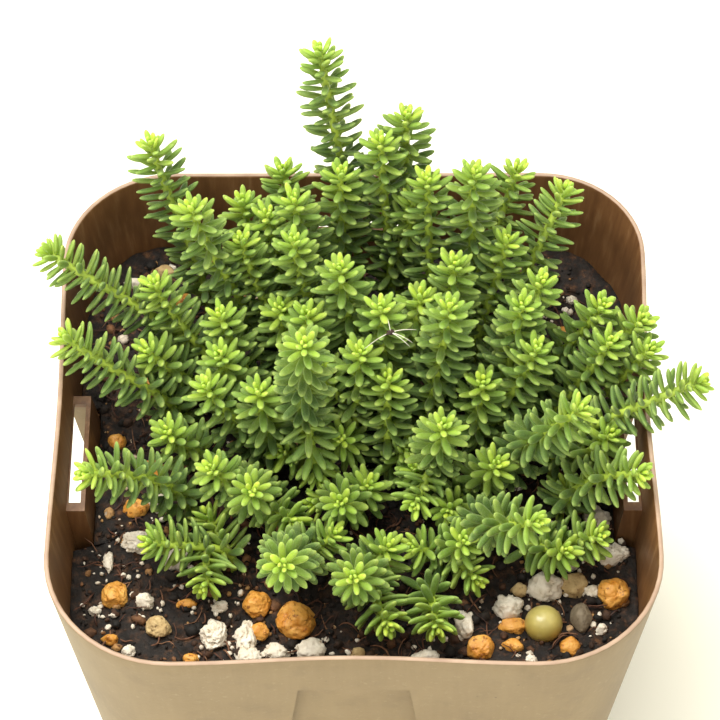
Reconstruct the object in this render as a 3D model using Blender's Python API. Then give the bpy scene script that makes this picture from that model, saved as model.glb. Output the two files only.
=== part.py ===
"""A square plastic pot of gritty soil, planted with a small sedum of many leafy stems.

The middle of the pot's underside is the origin, +Z is up and -Y is the front.
Every leafy stem stands in its own hole in the soil. The pot, the soil and the
larger grains on it are solids of their own.
"""

import math

import bmesh
import bpy
import numpy as np
from mathutils import Vector, geometry, noise

MM = 0.001
GAP = 0.3 * MM  # left between neighbouring solids
UP = Vector((0, 0, 1))

# Pot
POT_HEIGHT = 80 * MM
RIM_HALF = 45 * MM
RIM_CORNERS = (15.8 * MM, 17.0 * MM, 18.7 * MM, 18.7 * MM)  # back right, back left, front left and right
FOOT_CORNER = 13 * MM
DRAFT = 0.12  # how far a wall leans in for each unit of depth
WALL = 0.8 * MM
RIM_BOWS = (0.8 * MM, 0.0, 0.5 * MM, 1.0 * MM)  # right, back, left and front sides bow in
BOW_FADE = 10 * MM
MIDDLE = POT_HEIGHT - BOW_FADE  # where the walls have a ring between foot and rim
FLOOR_BELOW = 1.5 * MM
FLOOR_ABOVE = 2.7 * MM
PAD_HALF = 9 * MM
FOOT_WIDTH = 4 * MM
DRAIN_RADIUS = 3.2 * MM
DRAIN_RING = 20 * MM
DRAINS = 8
CORNER_STEPS = 5
SIDE_STEPS = 4

# Recessed panel in each side, with a slot through its ledge
LEDGE_DEPTH = 9.5 * MM
PANEL_INSET = 2.9 * MM
PANEL_HALVES = (9.8 * MM, 8.1 * MM, 9.8 * MM, 8.1 * MM)
PANEL_SHIFTS = (-2.5 * MM, 0, 2.5 * MM, 0)  # of each panel along its side, anticlockwise
PANEL_SPREAD = 0.1
SLOT_REACH = 1.0 * MM  # how far the slots' cutters pass through the ledges
SLOT_END = 0.8 * MM
SLOT_LIP = 0.1 * MM

# Soil
SOIL_TOP = 64.5 * MM
SOIL_SWELL = 1.0 * MM
SOIL_LUMP = 9 * MM
SOIL_CELLS = 10
SOIL_CLEAR = 1.5 * MM  # what leaves keep above the soil
HOLE_DEPTH = 7.3 * MM

# Stems and leaves
STEM_RADIUS = 0.62 * MM  # to a corner of the four-sided stem
STEM_CLEAR = 2.2 * MM  # height at which a stem starts to lean
BEND_PITCH = 5.5 * MM
PULL = 0.35  # how strongly a shoot keeps its first and last direction
UPTURN = 0.5  # how strongly a tip turns upright where no direction is stated
FORK_SHARES = (0.15, 0.4)  # how far up the main shoot its side shoots leave it
FORK_RISE = 0.8
FORK_HEIGHT = 1.1 * MM
CORE_RADIUS = 0.9 * MM  # the same where leaves crowd the stem
WHORL_PITCH = 2.0 * MM
WHORL_TURN = math.radians(45)
SIDES = 4  # of a stem, and leaves in a whorl
ROOT_SHARE = 0.65  # how far out the middle of a twisted side of the core lies
LEAF_ANGLES = (36, 58, 72, 80, 86, 90, 92)  # from the stem's axis, tip whorl first, in degrees
LEAF_LENGTHS = (2.6 * MM, 3.6 * MM, 3.9 * MM)
LEAF_WIDTHS = (1.0 * MM, 1.2 * MM, 1.25 * MM)
LEAF_CURL = 0.12
LEAF_POINTS = (0.3, 0.65, 1.0)  # places along a leaf at which its distance to the pot is tested
BUD_HEIGHT = 0.9 * MM
STEM_PER_WHORL = 7.2 * MM
MOST_WHORLS = 8
LEAST_BARE = 1.4 * MM  # of a shoot, below its leaves
STRAIGHT_SHARE = 0.6  # of that length, at most, without a twist
FLATTER = 0.05  # how much less up the stem a leaf points than the leaves above it
LEAF_TRIES = ((0, 1.0), (-25, 1.0), (15, 0.85), (-25, 0.7))  # degrees closer in, share of the length

# Where each stem leaves the soil (x, y), then the tips of its shoots (x, y, z), in millimetres.
# A tip may add the compass heading and the rise of its last stretch, in degrees.
STEMS = (
    ((-23, 28), (-31, 39, 94)),
    ((-23, 15), (-46, 20, 92, 155, 28)),
    ((-26, 5), (-43, 7, 88, 155, 38)),
    ((-14, 17), (-24, 21, 101)),
    ((-13, 25), (-17, 31, 90), (-13, 27, 92)),
    ((-8, 30), (-11, 38, 89)),
    ((1, 30), (-5, 43, 111, 110, 66)),
    ((-4, 21), (-9, 25, 98), (-2, 30, 98)),
    ((6, 25), (4, 33, 102), (8, 38, 102), (9, 29, 93)),
    ((12, 19), (11, 28, 99), (18, 26, 103)),
    ((18, 28), (25, 38, 89)),
    ((23, 21), (32, 31, 93, 60, 45)),
    ((-10, 14), (-17, 22, 92), (-11, 13, 87)),
    ((-4, 11), (-9, 18, 97), (-7, 8, 92)),
    ((1, 10), (-2, 12, 98)),
    ((-19, 10), (-30, 16, 89), (-31, 8, 83)),
    ((-14, 7), (-20, 11, 88), (-20, 5, 86)),
    ((-14, 0), (-22, 0, 85), (-14, -3, 88)),
    ((-22, -2), (-28, -4, 79)),
    ((-25, -10), (-39, -15, 84, 200, 22)),
    ((-14, -9), (-21, -12, 81), (-9, -17, 74, 302, 20), (-15, -16, 81)),
    ((-18, -19), (-30, -21, 75, 190, 32), (-22, -14, 72, 125, 30), (-22, -26, 71, 240, 15)),
    ((-8, -3), (-7, -7, 105, 270, 75), (-11, -5, 75), (-5, -9, 74, 298, 20)),
    ((-8, -21), (-10, -34, 89, 270, 55), (-3, -19.5, 75)),
    ((0, -9), (-2, -16, 78), (2, -11, 75), (-6, -12, 72, 203, 25)),
    ((2, -22), (0, -31, 81), (5, -22, 75.5), (5, -34, 73)),
    ((0, 1), (1, 2, 91), (-2, -4, 77), (-5, 4, 84)),
    ((5, 7), (4, 7, 95), (10, 12, 91)),
    ((13, 11), (15, 16, 94)),
    ((11, 2), (14, 5, 98)),
    ((18, 15), (23, 22, 92)),
    ((20, 9), (28, 14, 92), (25, 9, 93)),
    ((27, 10), (37, 12, 89), (43, 10, 88)),
    ((29, 3), (38, 6, 88), (44, 6, 86)),
    ((20, 1), (27, 4, 89), (19, 0, 86)),
    ((5, -3), (5, 0, 87), (8, -4, 74)),
    ((11, -7), (13, -10, 89), (9, -8, 75), (9, -15, 76)),
    ((18, -7), (21, -10, 79), (14, -15, 74, 260, 40)),
    ((23, -4), (33, -9, 92, 10, 50)),
    ((30, -3), (51, -2, 89, 8, 28), (38, -6, 81)),
    ((31, -11), (42, -15, 84, 340, 24), (32, -8, 71)),
    ((18, -15), (26, -26, 88, 345, 40)),
    ((13, -19), (16, -22, 77), (9, -20, 72, 194, 35), (18, -25, 71, 308, 12)),
    ((26, -17), (31, -22, 74), (36, -20, 75)),
    ((11, -25), (12, -34, 72, 272, 12)),
)

# The larger grains: kind, place (x, y), half sizes (x, y, z) in millimetres, roughness of shape
GRAINS = (
    ("clay_grain", (-8.5, -28.6), (3.0, 3.0, 2.5), 0.10),
    ("clay_grain", (-14.5, -25.6), (2.2, 2.1, 2.0), 0.12),
    ("clay_grain", (-35.6, -24.2), (2.0, 2.2, 1.7), 0.22),
    ("clay_grain", (38.6, -24.0), (2.4, 2.7, 2.2), 0.12),
    ("clay_grain", (18.6, -33.4), (2.2, 1.9, 1.8), 0.14),
    ("perlite", (-20.6, -30.9), (1.9, 2.5, 1.8), 0.20),
    ("perlite", (-16.0, -31.3), (1.7, 2.6, 1.8), 0.20),
    ("perlite", (-32.4, -14.4), (2.4, 1.9, 1.6), 0.18),
    ("perlite", (38.6, -17.2), (2.4, 1.8, 1.7), 0.20),
    ("tan_stone", (-29.0, -29.8), (1.9, 1.7, 1.5), 0.20),
    ("grey_stone", (33.6, -28.0), (1.6, 2.3, 1.8), 0.12),
    ("fertiliser_ball", (28.0, -29.4), (2.8, 2.8, 2.8), 0.0),
)
GRAIN_SUNK = 0.3
DENT_SCALE = 1.6
DENT_STEP = 7.3  # sets the dents of one grain apart from those of the next

COLOURS = {
    "pot": (0.45, 0.33, 0.18),
    "soil": (0.03, 0.02, 0.012),
    "sedum": (0.13, 0.28, 0.05),
    "clay_grain": (0.62, 0.27, 0.05),
    "perlite": (0.75, 0.68, 0.56),
    "tan_stone": (0.50, 0.38, 0.18),
    "grey_stone": (0.22, 0.18, 0.12),
    "fertiliser_ball": (0.60, 0.52, 0.12),
}


def clear_scene():
    for thing in list(bpy.data.objects):
        bpy.data.objects.remove(thing, do_unlink=True)


def new_collection(name):
    collection = bpy.data.collections.new(name)
    bpy.context.scene.collection.children.link(collection)
    return collection


def new_object(name, bm, collection):
    """Turns a bmesh into an object of its own."""
    bmesh.ops.recalc_face_normals(bm, faces=bm.faces)
    mesh = bpy.data.meshes.new(name)
    bm.to_mesh(mesh)
    bm.free()
    thing = bpy.data.objects.new(name, mesh)
    collection.objects.link(thing)
    return thing


def new_cutter(name, bm, collection):
    cutter = new_object(name, bm, collection)
    cutter.hide_render = True
    cutter.display_type = 'WIRE'
    return cutter


def paint(thing, kind, roughness):
    material = bpy.data.materials.get(kind)
    if material is None:
        material = bpy.data.materials.new(kind)
        material.use_nodes = True
        shader = material.node_tree.nodes["Principled BSDF"]
        shader.inputs["Base Color"].default_value = (*COLOURS[kind], 1)
        shader.inputs["Roughness"].default_value = roughness
        shader.inputs["Metallic"].default_value = 0
    thing.data.materials.append(material)


def cut(thing, operation, tool):
    """Adds an exact Boolean with one object, or with a whole collection."""
    modifier = thing.modifiers.new(operation.lower(), 'BOOLEAN')
    modifier.operation = operation
    modifier.solver = 'EXACT'
    if isinstance(tool, bpy.types.Collection):
        modifier.operand_type = 'COLLECTION'
        modifier.collection = tool
    else:
        modifier.object = tool
    return modifier


def loft(bm, rings):
    """A closed skin through rings of equal length. Returns its side faces by band, and its end."""
    loops = [[bm.verts.new(point) for point in ring] for ring in rings]
    count = len(loops[0])
    bands = []
    for low, high in zip(loops, loops[1:]):
        band = []
        for i in range(count):
            j = (i + 1) % count
            band.append(bm.faces.new((low[i], low[j], high[j], high[i])))
        bands.append(band)
    bm.faces.new(reversed(loops[0]))
    return bands, bm.faces.new(loops[-1])


def draw_out(bm, face, rings):
    """Draws a face out through rings of its corners. Returns the sides by band, and the end."""
    bands = []
    for ring in rings:
        face = bmesh.ops.extrude_discrete_faces(bm, faces=[face])["faces"][0]
        for vert, place in zip(face.verts, ring):
            vert.co = place
        band = []
        for loop in face.loops:
            band.extend(side for side in loop.edge.link_faces if side != face)
        bands.append(band)
    return bands, face


def side_turn(side, x, y, z):
    """Turns a point of the right side round to another side."""
    turn = math.radians(90 * side)
    return Vector((
        x * math.cos(turn) - y * math.sin(turn),
        x * math.sin(turn) + y * math.cos(turn),
        z,
    ))


def wall_half(z):
    return RIM_HALF - DRAFT * (POT_HEIGHT - z)


def corner_radius(z, rim_corner=max(RIM_CORNERS)):
    return FOOT_CORNER + (rim_corner - FOOT_CORNER) * z / POT_HEIGHT


def pot_ring(z, inset):
    """The pot's outline at one height, drawn in by inset: a rounded square with bowed sides."""
    half = wall_half(z) - inset
    corners = [corner_radius(z, rim_corner) - inset for rim_corner in RIM_CORNERS]
    fade = math.exp(min(0.0, z - POT_HEIGHT) / BOW_FADE)
    ring = []
    for side, bow in enumerate(RIM_BOWS):
        start = corners[side - 1] - half
        end = half - corners[side]
        for step in range(1, SIDE_STEPS):
            along = step / SIDE_STEPS
            dip = bow * fade * math.sin(math.pi * along) ** 2
            ring.append(side_turn(side, half - dip, start + (end - start) * along, z))
        for step in range(CORNER_STEPS + 1):
            angle = math.radians(90) * step / CORNER_STEPS
            x = end + corners[side] * math.cos(angle)
            y = end + corners[side] * math.sin(angle)
            ring.append(side_turn(side, x, y, z))
    return ring


def block_ring(side, inner, outer, half, z):
    """A rectangle over one side's panel, at one height."""
    shift = PANEL_SHIFTS[side]
    corners = ((inner, -half), (outer, -half), (outer, half), (inner, half))
    return [side_turn(side, x, y + shift, z) for x, y in corners]


def panel_block(side, inset, margin, low, high):
    """A trapezoid block over one side's recess, from inset inside the wall outward."""
    bm = bmesh.new()
    rings = []
    for z in (low, high):
        ledge = POT_HEIGHT - LEDGE_DEPTH
        half = PANEL_HALVES[side] + PANEL_SPREAD * (ledge - z) + margin
        rings.append(block_ring(side, wall_half(z) - inset, wall_half(z) + LEDGE_DEPTH, half, z))
    loft(bm, rings)
    return bm


def slot_block(side):
    """The block that opens a slot in a ledge, between the wall and the top of the panel."""
    bm = bmesh.new()
    ledge = POT_HEIGHT - LEDGE_DEPTH
    half = PANEL_HALVES[side] - SLOT_END
    inner = wall_half(ledge) - PANEL_INSET
    bow = RIM_BOWS[side] * math.exp(-LEDGE_DEPTH / BOW_FADE)
    outer = wall_half(ledge) - WALL - bow - SLOT_LIP
    rings = [block_ring(side, inner, outer, half, z)
             for z in (ledge - SLOT_REACH, ledge + WALL + SLOT_REACH)]
    loft(bm, rings)
    return bm


def cavity_shape(name, inset, floor, top, cutters):
    """The pot's inside, drawn in by inset, with its four panels left out of it."""
    bm = bmesh.new()
    loft(bm, [pot_ring(z, inset) for z in (floor, MIDDLE, top)])
    shape = new_object(name, bm, cutters)
    bosses = bpy.data.collections.new(name + "_bosses")
    cutters.children.link(bosses)
    for side in range(4):
        ledge = POT_HEIGHT - LEDGE_DEPTH + inset
        block = panel_block(side, PANEL_INSET + inset, inset, -GAP, ledge)
        new_cutter(f"{name}_boss_{side}", block, bosses)
    cut(shape, 'DIFFERENCE', bosses)
    return shape


def foot_hollow(cutters):
    """The shallow space under the floor, which leaves a foot all round and a pad in the middle."""
    bm = bmesh.new()
    loft(bm, [pot_ring(z, FOOT_WIDTH) for z in (-FLOOR_BELOW, FLOOR_BELOW)])
    hollow = new_cutter("foot_hollow", bm, cutters)
    bm = bmesh.new()
    bmesh.ops.create_cone(bm, cap_ends=True, segments=12, radius1=PAD_HALF, radius2=PAD_HALF,
                          depth=6 * FLOOR_BELOW)
    pad = new_cutter("foot_pad", bm, cutters)
    cut(hollow, 'DIFFERENCE', pad)
    return hollow


def make_pot(parts, cutters):
    """One thin shell: tapered walls, four recessed panels with slots, and a drained floor."""
    bm = bmesh.new()
    loft(bm, [pot_ring(z, 0) for z in (0, MIDDLE, POT_HEIGHT)])
    pot = new_object("pot", bm, parts)
    tools = bpy.data.collections.new("pot_cutters")
    cutters.children.link(tools)
    for side in range(4):
        ledge = POT_HEIGHT - LEDGE_DEPTH
        new_cutter(f"panel_{side}", panel_block(side, PANEL_INSET, 0, -MM, ledge), tools)
        new_cutter(f"slot_{side}", slot_block(side), tools)
    for index in range(DRAINS):
        angle = math.radians(360 * (index + 0.5) / DRAINS)
        bm = bmesh.new()
        bmesh.ops.create_cone(bm, cap_ends=True, segments=8, radius1=DRAIN_RADIUS,
                              radius2=DRAIN_RADIUS, depth=4 * FLOOR_ABOVE)
        drain = new_cutter(f"drain_{index}", bm, tools)
        drain.location = (DRAIN_RING * math.cos(angle), DRAIN_RING * math.sin(angle), 0)
    cavity = cavity_shape("cavity", WALL, FLOOR_ABOVE, POT_HEIGHT + 2 * MM, cutters)
    cavity.hide_render = True
    cavity.display_type = 'WIRE'
    cut(pot, 'DIFFERENCE', cavity)
    cut(pot, 'DIFFERENCE', foot_hollow(cutters))
    cut(pot, 'DIFFERENCE', tools)
    paint(pot, "pot", 0.6)
    return pot


def soil_height(x, y):
    """The uneven top of the soil."""
    return SOIL_TOP + SOIL_SWELL * noise.noise(Vector((x, y, 0)) / SOIL_LUMP)


def soil_air(tools):
    """Everything above the soil's uneven top."""
    bm = bmesh.new()
    bmesh.ops.create_grid(bm, x_segments=SOIL_CELLS, y_segments=SOIL_CELLS, size=RIM_HALF)
    for vert in bm.verts:
        vert.co.z = soil_height(vert.co.x, vert.co.y)
    top = bmesh.ops.extrude_face_region(bm, geom=bm.faces[:])
    for item in top["geom"]:
        if isinstance(item, bmesh.types.BMVert):
            item.co.z = POT_HEIGHT + 10 * MM
    new_cutter("air", bm, tools)


def stem_hole(base, index, tools):
    """The hole of one stem, four-sided as the stem is."""
    radius = STEM_RADIUS + GAP * math.sqrt(2)
    bm = bmesh.new()
    bmesh.ops.create_cone(bm, cap_ends=True, segments=4, radius1=radius, radius2=radius,
                          depth=2 * HOLE_DEPTH)
    hole = new_cutter(f"hole_{index}", bm, tools)
    hole.location = (base.x, base.y, SOIL_TOP)


def grain_mesh(sizes, roughness, seed):
    """A pebble: a small sphere, dented by noise, stretched to its half sizes."""
    bm = bmesh.new()
    bmesh.ops.create_icosphere(bm, subdivisions=2, radius=1)
    for vert in bm.verts:
        dent = noise.noise(vert.co * DENT_SCALE + Vector((seed * DENT_STEP, 0, 0)))
        swell = 1 + roughness * dent
        vert.co = Vector([vert.co[i] * swell * sizes[i] for i in range(3)])
    return bm


def make_grains(parts, tools):
    """The larger grains, each in a dimple of the soil."""
    counts = {}
    for seed, (kind, place, sizes, roughness) in enumerate(GRAINS):
        counts[kind] = counts.get(kind, 0) + 1
        x, y = place[0] * MM, place[1] * MM
        sizes = [size * MM for size in sizes]
        location = (x, y, soil_height(x, y) + sizes[2] * (1 - 2 * GRAIN_SUNK))
        grain = new_object(f"{kind}_{counts[kind]}", grain_mesh(sizes, roughness, seed), parts)
        grain.location = location
        paint(grain, kind, 0.9)
        bm = bmesh.new()
        radius = max(sizes[:2]) * (1 + roughness / 2) + 2 * GAP
        bmesh.ops.create_cone(bm, cap_ends=True, segments=7, radius1=radius, radius2=radius,
                              depth=2 * sizes[2] + 3 * GAP)
        dimple = new_cutter(f"dimple_{seed}", bm, tools)
        dimple.location = location


def make_soil(parts, cutters):
    """The soil's body: the pot's inside less a gap, cut by the air, the holes and the dimples."""
    inset = WALL + GAP
    soil = cavity_shape("soil", inset, FLOOR_ABOVE + GAP, SOIL_TOP + 5 * MM, cutters)
    cutters.objects.unlink(soil)
    parts.objects.link(soil)
    tools = bpy.data.collections.new("soil_cutters")
    cutters.children.link(tools)
    soil_air(tools)
    for index, (base, *_) in enumerate(STEMS):
        stem_hole(Vector((base[0], base[1], 0)) * MM, index, tools)
    make_grains(parts, tools)
    cut(soil, 'DIFFERENCE', tools)
    paint(soil, "soil", 1.0)
    return soil


def lean_of(clear, tip, bearing):
    """The direction of a shoot's last stretch: as stated, or between its own line and upright."""
    if bearing:
        heading, rise = (math.radians(angle) for angle in bearing)
        flat = math.cos(rise)
        return Vector((flat * math.cos(heading), flat * math.sin(heading), math.sin(rise)))
    return ((tip - clear).normalized() + UPTURN * UP).normalized()


def walk(points):
    """Distances along a line of points."""
    reach = [0.0]
    for a, b in zip(points, points[1:]):
        reach.append(reach[-1] + (b - a).length)
    return reach


def point_at(points, reach, distance):
    """The place and direction at a distance along a line of points."""
    for i in range(1, len(points)):
        if distance <= reach[i] or i == len(points) - 1:
            step = points[i] - points[i - 1]
            share = (distance - reach[i - 1]) / step.length
            return points[i - 1] + step * share, step.normalized()
    return points[-1], UP


def shoot_route(start, out, tip, bearing):
    """A smooth line from a start, leaving it along out, to a shoot's tip."""
    span = (tip - start).length
    lean = lean_of(start, tip, bearing)
    points = max(5, round(span / BEND_PITCH))
    return geometry.interpolate_bezier(start, start + out * span * PULL, tip - lean * span * PULL,
                                       tip, points)


def plan_stem(entry):
    """One stem's shoots: the main one from the foot up, then those that fork from it.

    Each is its route, with how far up the main shoot it forks and the way that it leaves.
    """
    (x, y), *tips = entry
    foot = Vector((x, y, 0)) * MM
    foot.z = SOIL_TOP - HOLE_DEPTH + GAP
    clear = Vector((foot.x, foot.y, SOIL_TOP + STEM_CLEAR))
    trunk = [foot] + shoot_route(clear, UP, Vector(tips[0][:3]) * MM, tips[0][3:])
    reach = walk(trunk)
    shoots = [(trunk, 0.0, UP)]
    for share, tip in zip(FORK_SHARES, tips[1:]):
        end = Vector(tip[:3]) * MM
        fork = reach[1] + share * (reach[-1] - reach[1])
        start, along = point_at(trunk, reach, fork)
        away = ((end - start) - along * along.dot(end - start)).normalized()
        start = start + away * STEM_RADIUS * math.cos(math.pi / SIDES)
        out = (away + FORK_RISE * along).normalized()
        shoots.append((shoot_route(start, out, end, tip[3:]), fork, away))
    return shoots


def segment_gap(a0, a1, b0, b1):
    """The distance between two straight segments."""
    u, v, w = a1 - a0, b1 - b0, a0 - b0
    uu, uv, vv, uw, vw = u.dot(u), u.dot(v), v.dot(v), u.dot(w), v.dot(w)
    flat = uu * vv - uv * uv
    s = min(1.0, max(0.0, (uv * vw - vv * uw) / flat)) if flat > 1e-18 else 0.0
    t = min(1.0, max(0.0, (uv * s + vw) / vv))
    s = min(1.0, max(0.0, (uv * t - uw) / uu))
    return (w + u * s - v * t).length


class Bars:
    """The thick lines that stems and leaves take up, kept in coarse cells for quick searches."""

    CELL = 6 * MM

    def __init__(self):
        self.cells = {}

    def keys(self, a, b, margin):
        low = [int(math.floor((min(a[i], b[i]) - margin) / self.CELL)) for i in range(3)]
        high = [int(math.floor((max(a[i], b[i]) + margin) / self.CELL)) for i in range(3)]
        for i in range(low[0], high[0] + 1):
            for j in range(low[1], high[1] + 1):
                for k in range(low[2], high[2] + 1):
                    yield i, j, k

    def add(self, a, b, radius, owner):
        bar = (a, b, radius, owner)
        for key in self.keys(a, b, radius):
            self.cells.setdefault(key, []).append(bar)

    def is_clear(self, a, b, radius, owner):
        for key in self.keys(a, b, radius + GAP):
            for c, d, other, other_owner in self.cells.get(key, ()):
                if other_owner != owner and segment_gap(a, b, c, d) < radius + other + GAP:
                    return False
        return True


def inside_wall(point):
    """How far a point is inside the pot's inner wall; negative within the wall or outside it."""
    half = wall_half(point.z) - WALL - max(RIM_BOWS)
    corner = corner_radius(point.z) - WALL
    over_x = abs(point.x) - (half - corner)
    over_y = abs(point.y) - (half - corner)
    outside = math.hypot(max(over_x, 0), max(over_y, 0)) + min(max(over_x, over_y), 0)
    return corner - outside


def off_the_bosses(point, radius):
    """Whether a ball keeps off the backs of the recessed panels."""
    if point.z > POT_HEIGHT - LEDGE_DEPTH + WALL + radius + GAP:
        return True
    room = wall_half(point.z) - PANEL_INSET - WALL - radius - GAP
    return max(abs(point.x), abs(point.y)) < room


def clears_the_rest(root, tip, radius):
    """Whether a leaf keeps off the pot, the soil and the grains."""
    for share in LEAF_POINTS:
        point = root.lerp(tip, share)
        if point.z < soil_height(point.x, point.y) + radius + SOIL_CLEAR:
            return False
        if point.z < POT_HEIGHT + radius + GAP and inside_wall(point) < radius + GAP:
            return False
        if not off_the_bosses(point, radius):
            return False
        for kind, place, sizes, roughness in GRAINS:
            centre = Vector((place[0] * MM, place[1] * MM, 0))
            centre.z = soil_height(centre.x, centre.y) + sizes[2] * (1 - 2 * GRAIN_SUNK) * MM
            if (point - centre).length < max(sizes) * (1 + roughness / 2) * MM + radius + GAP:
                return False
    return True


def whorl_count(route):
    length = walk(route)[-1]
    fitting = int((length - LEAST_BARE) / WHORL_PITCH)
    return min(fitting, MOST_WHORLS, max(2, int(length / STEM_PER_WHORL)))


def by_whorl(values, whorl):
    return values[min(whorl, len(values) - 1)]


def around(axis, turn, share=0.0):
    """Four directions square to the stem; a share of 0.5 gives those between its corners."""
    swing = UP.rotation_difference(axis)
    directions = []
    for corner in range(SIDES):
        angle = turn + math.radians(360) * (corner + share) / SIDES
        directions.append(swing @ Vector((math.cos(angle), math.sin(angle), 0)))
    return directions


def stays_under(direction, axis, above):
    """Whether a leaf stays under the leaves that stand above it on its shoot."""
    return all((leaf[2] - direction).dot(axis) > FLATTER for leaf in above if leaf)


def fit_leaf(bars, shoot, root, axis, side, whorl, above):
    """Finds a direction and length at which a leaf keeps clear of all else, or none."""
    width = by_whorl(LEAF_WIDTHS, whorl)
    radius = width / math.sqrt(2)
    for closer, share in LEAF_TRIES:
        angle = math.radians(max(20, by_whorl(LEAF_ANGLES, whorl) + closer))
        direction = axis * (math.cos(angle) + LEAF_CURL) + side * math.sin(angle)
        length = by_whorl(LEAF_LENGTHS, whorl) * share
        reach = root + direction * (length - width * 0.3)
        if not stays_under(direction, axis, above):
            continue
        if clears_the_rest(root, reach, radius) and bars.is_clear(root, reach, radius, shoot):
            bars.add(root, reach, radius, shoot)
            return root + direction * length, width, direction
    return None


def plan_leaves(routes):
    """Leaves for every shoot, tip whorls first, so that each rosette is as full as it can be."""
    bars = Bars()
    for shoot, route in routes.items():
        leafy = walk(route)[-1] - WHORL_PITCH * whorl_count(route)
        for a, b, at in zip(route, route[1:], walk(route)[1:]):
            bars.add(a, b, CORE_RADIUS if at > leafy else STEM_RADIUS, shoot)
    leaves = {shoot: [] for shoot in routes}
    for whorl in range(MOST_WHORLS):
        for order, (shoot, route) in enumerate(routes.items()):
            if whorl >= whorl_count(route):
                continue
            reach = walk(route)
            middle = reach[-1] - WHORL_PITCH * (whorl + 0.5)
            centre, axis = point_at(route, reach, middle)
            upper = leaves[shoot][-1] if whorl else [None] * SIDES
            row = []
            for number, side in enumerate(around(axis, order + WHORL_TURN * (whorl + 0.5), 0.5)):
                root = centre + side * CORE_RADIUS * ROOT_SHARE
                above = upper[number], upper[(number + 1) % SIDES]
                row.append(fit_leaf(bars, shoot, root, axis, side, whorl, above))
            leaves[shoot].append(row)
    return leaves


def stem_ring(route, reach, distance, turn, radius):
    """The four corners of the stem at a distance along its route."""
    place, axis = point_at(route, reach, distance)
    return [place + corner * radius for corner in around(axis, turn)]


def square_end(end, across, rise, width):
    """The four corners of a leaf's blunt end, in order around it."""
    signs = ((1, 1), (-1, 1), (-1, -1), (1, -1))
    return [end + (across * x + rise * y) * width / 2 for x, y in signs]


def grow_leaf(bm, face, axis, leaf):
    """Draws one side of the core out into a leaf with a blunt end."""
    end, width, _ = leaf
    face.normal_update()
    root = face.calc_center_median()
    across = axis.cross(face.normal).normalized()
    rise = (end - root).cross(across).normalized()
    tip = bmesh.ops.extrude_discrete_faces(bm, faces=[face])["faces"][0]
    starts = [vert.co.copy() for vert in tip.verts]
    corners = square_end(end, across, rise, width)
    orders = [corners[shift:] + corners[:shift] for shift in range(SIDES)]
    nearest = min(orders, key=lambda order: sum((a - b).length for a, b in zip(starts, order)))
    for vert, place in zip(tip.verts, nearest):
        vert.co = place


def nearest_turn(turn, other):
    """The same turn of a four-sided stem, stated as near as can be to another."""
    quarter = math.radians(360) / SIDES
    return turn + quarter * round((other - turn) / quarter)


def turn_towards(axis, direction):
    """The turn at which a side of the stem faces a direction."""
    flat = UP.rotation_difference(axis).inverted() @ direction
    return math.atan2(flat.y, flat.x) - math.radians(180) / SIDES


def bare_marks(route, reach, leafy, first_turn, forks):
    """Distances and turns of the rings below the leaves, straight at the foot and at each fork."""
    known = [(0.0, first_turn), (min(reach[1], STRAIGHT_SHARE * leafy), first_turn)]
    for fork, away in forks:
        turn = turn_towards(point_at(route, reach, fork)[1], away)
        turn = nearest_turn(turn, known[-1][1])
        known.append((fork - FORK_HEIGHT / 2, turn))
        known.append((fork + FORK_HEIGHT / 2, turn))
    places, turns = zip(*known)
    marks = list(known)
    for at in reach[1:]:
        if at < leafy - FORK_HEIGHT and min(abs(at - place) for place in places) > FORK_HEIGHT:
            marks.append((at, float(np.interp(at, places, turns))))
    return sorted(marks)


def leaf_out(bm, bands, whorls, route, reach, shift):
    """Grows the planned leaves out of a shoot's leafy bands."""
    for whorl, row in enumerate(whorls):
        axis = point_at(route, reach, reach[-1] - WHORL_PITCH * (whorl + 0.5))[1]
        for side, face in enumerate(bands[-1 - whorl]):
            leaf = row[(side + shift) % SIDES]
            if leaf:
                grow_leaf(bm, face, axis, leaf)


def grow_shoot(bm, face, shoot, spin, whorls, forks):
    """One shoot, drawn out of a face, or standing free where there is none.

    Returns the straight bands that its side shoots are drawn out of.
    """
    route = shoot[0]
    reach = walk(route)
    leafy = reach[-1] - WHORL_PITCH * len(whorls)
    first_turn = 0.0
    if face:
        centre = face.calc_center_median()
        first_turn = turn_towards(point_at(route, reach, 0)[1], face.verts[0].co - centre)
        first_turn += math.radians(180) / SIDES
    marks = bare_marks(route, reach, leafy, first_turn, forks)
    last_turn = spin + WHORL_TURN * len(whorls)
    shifted = nearest_turn(last_turn, marks[-1][1]) - last_turn
    rings = [stem_ring(route, reach, at, turn, STEM_RADIUS) for at, turn in marks]
    for whorl in range(len(whorls), -1, -1):
        radius = CORE_RADIUS if whorl else STEM_RADIUS
        turn = spin + WHORL_TURN * whorl + shifted
        rings.append(stem_ring(route, reach, reach[-1] - WHORL_PITCH * whorl, turn, radius))
    if face:
        bands, end = draw_out(bm, face, rings[1:])
        places = [at for at, _ in marks[1:]]
    else:
        bands, end = loft(bm, rings)
        places = [at for at, _ in marks]
    bud = bmesh.ops.poke(bm, faces=[end])["verts"][0]
    bud.co = bud.co + point_at(route, reach, reach[-1])[1] * BUD_HEIGHT
    fork_bands = [bands[places.index(fork - FORK_HEIGHT / 2)] for fork, _ in forks]
    shift = round(shifted / (math.radians(360) / SIDES))
    leaf_out(bm, bands, whorls, route, reach, shift)
    return fork_bands


def facing(faces, direction):
    """The face of a band that looks most towards a direction."""
    return max(faces, key=lambda face: face.normal.dot(direction))


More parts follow.
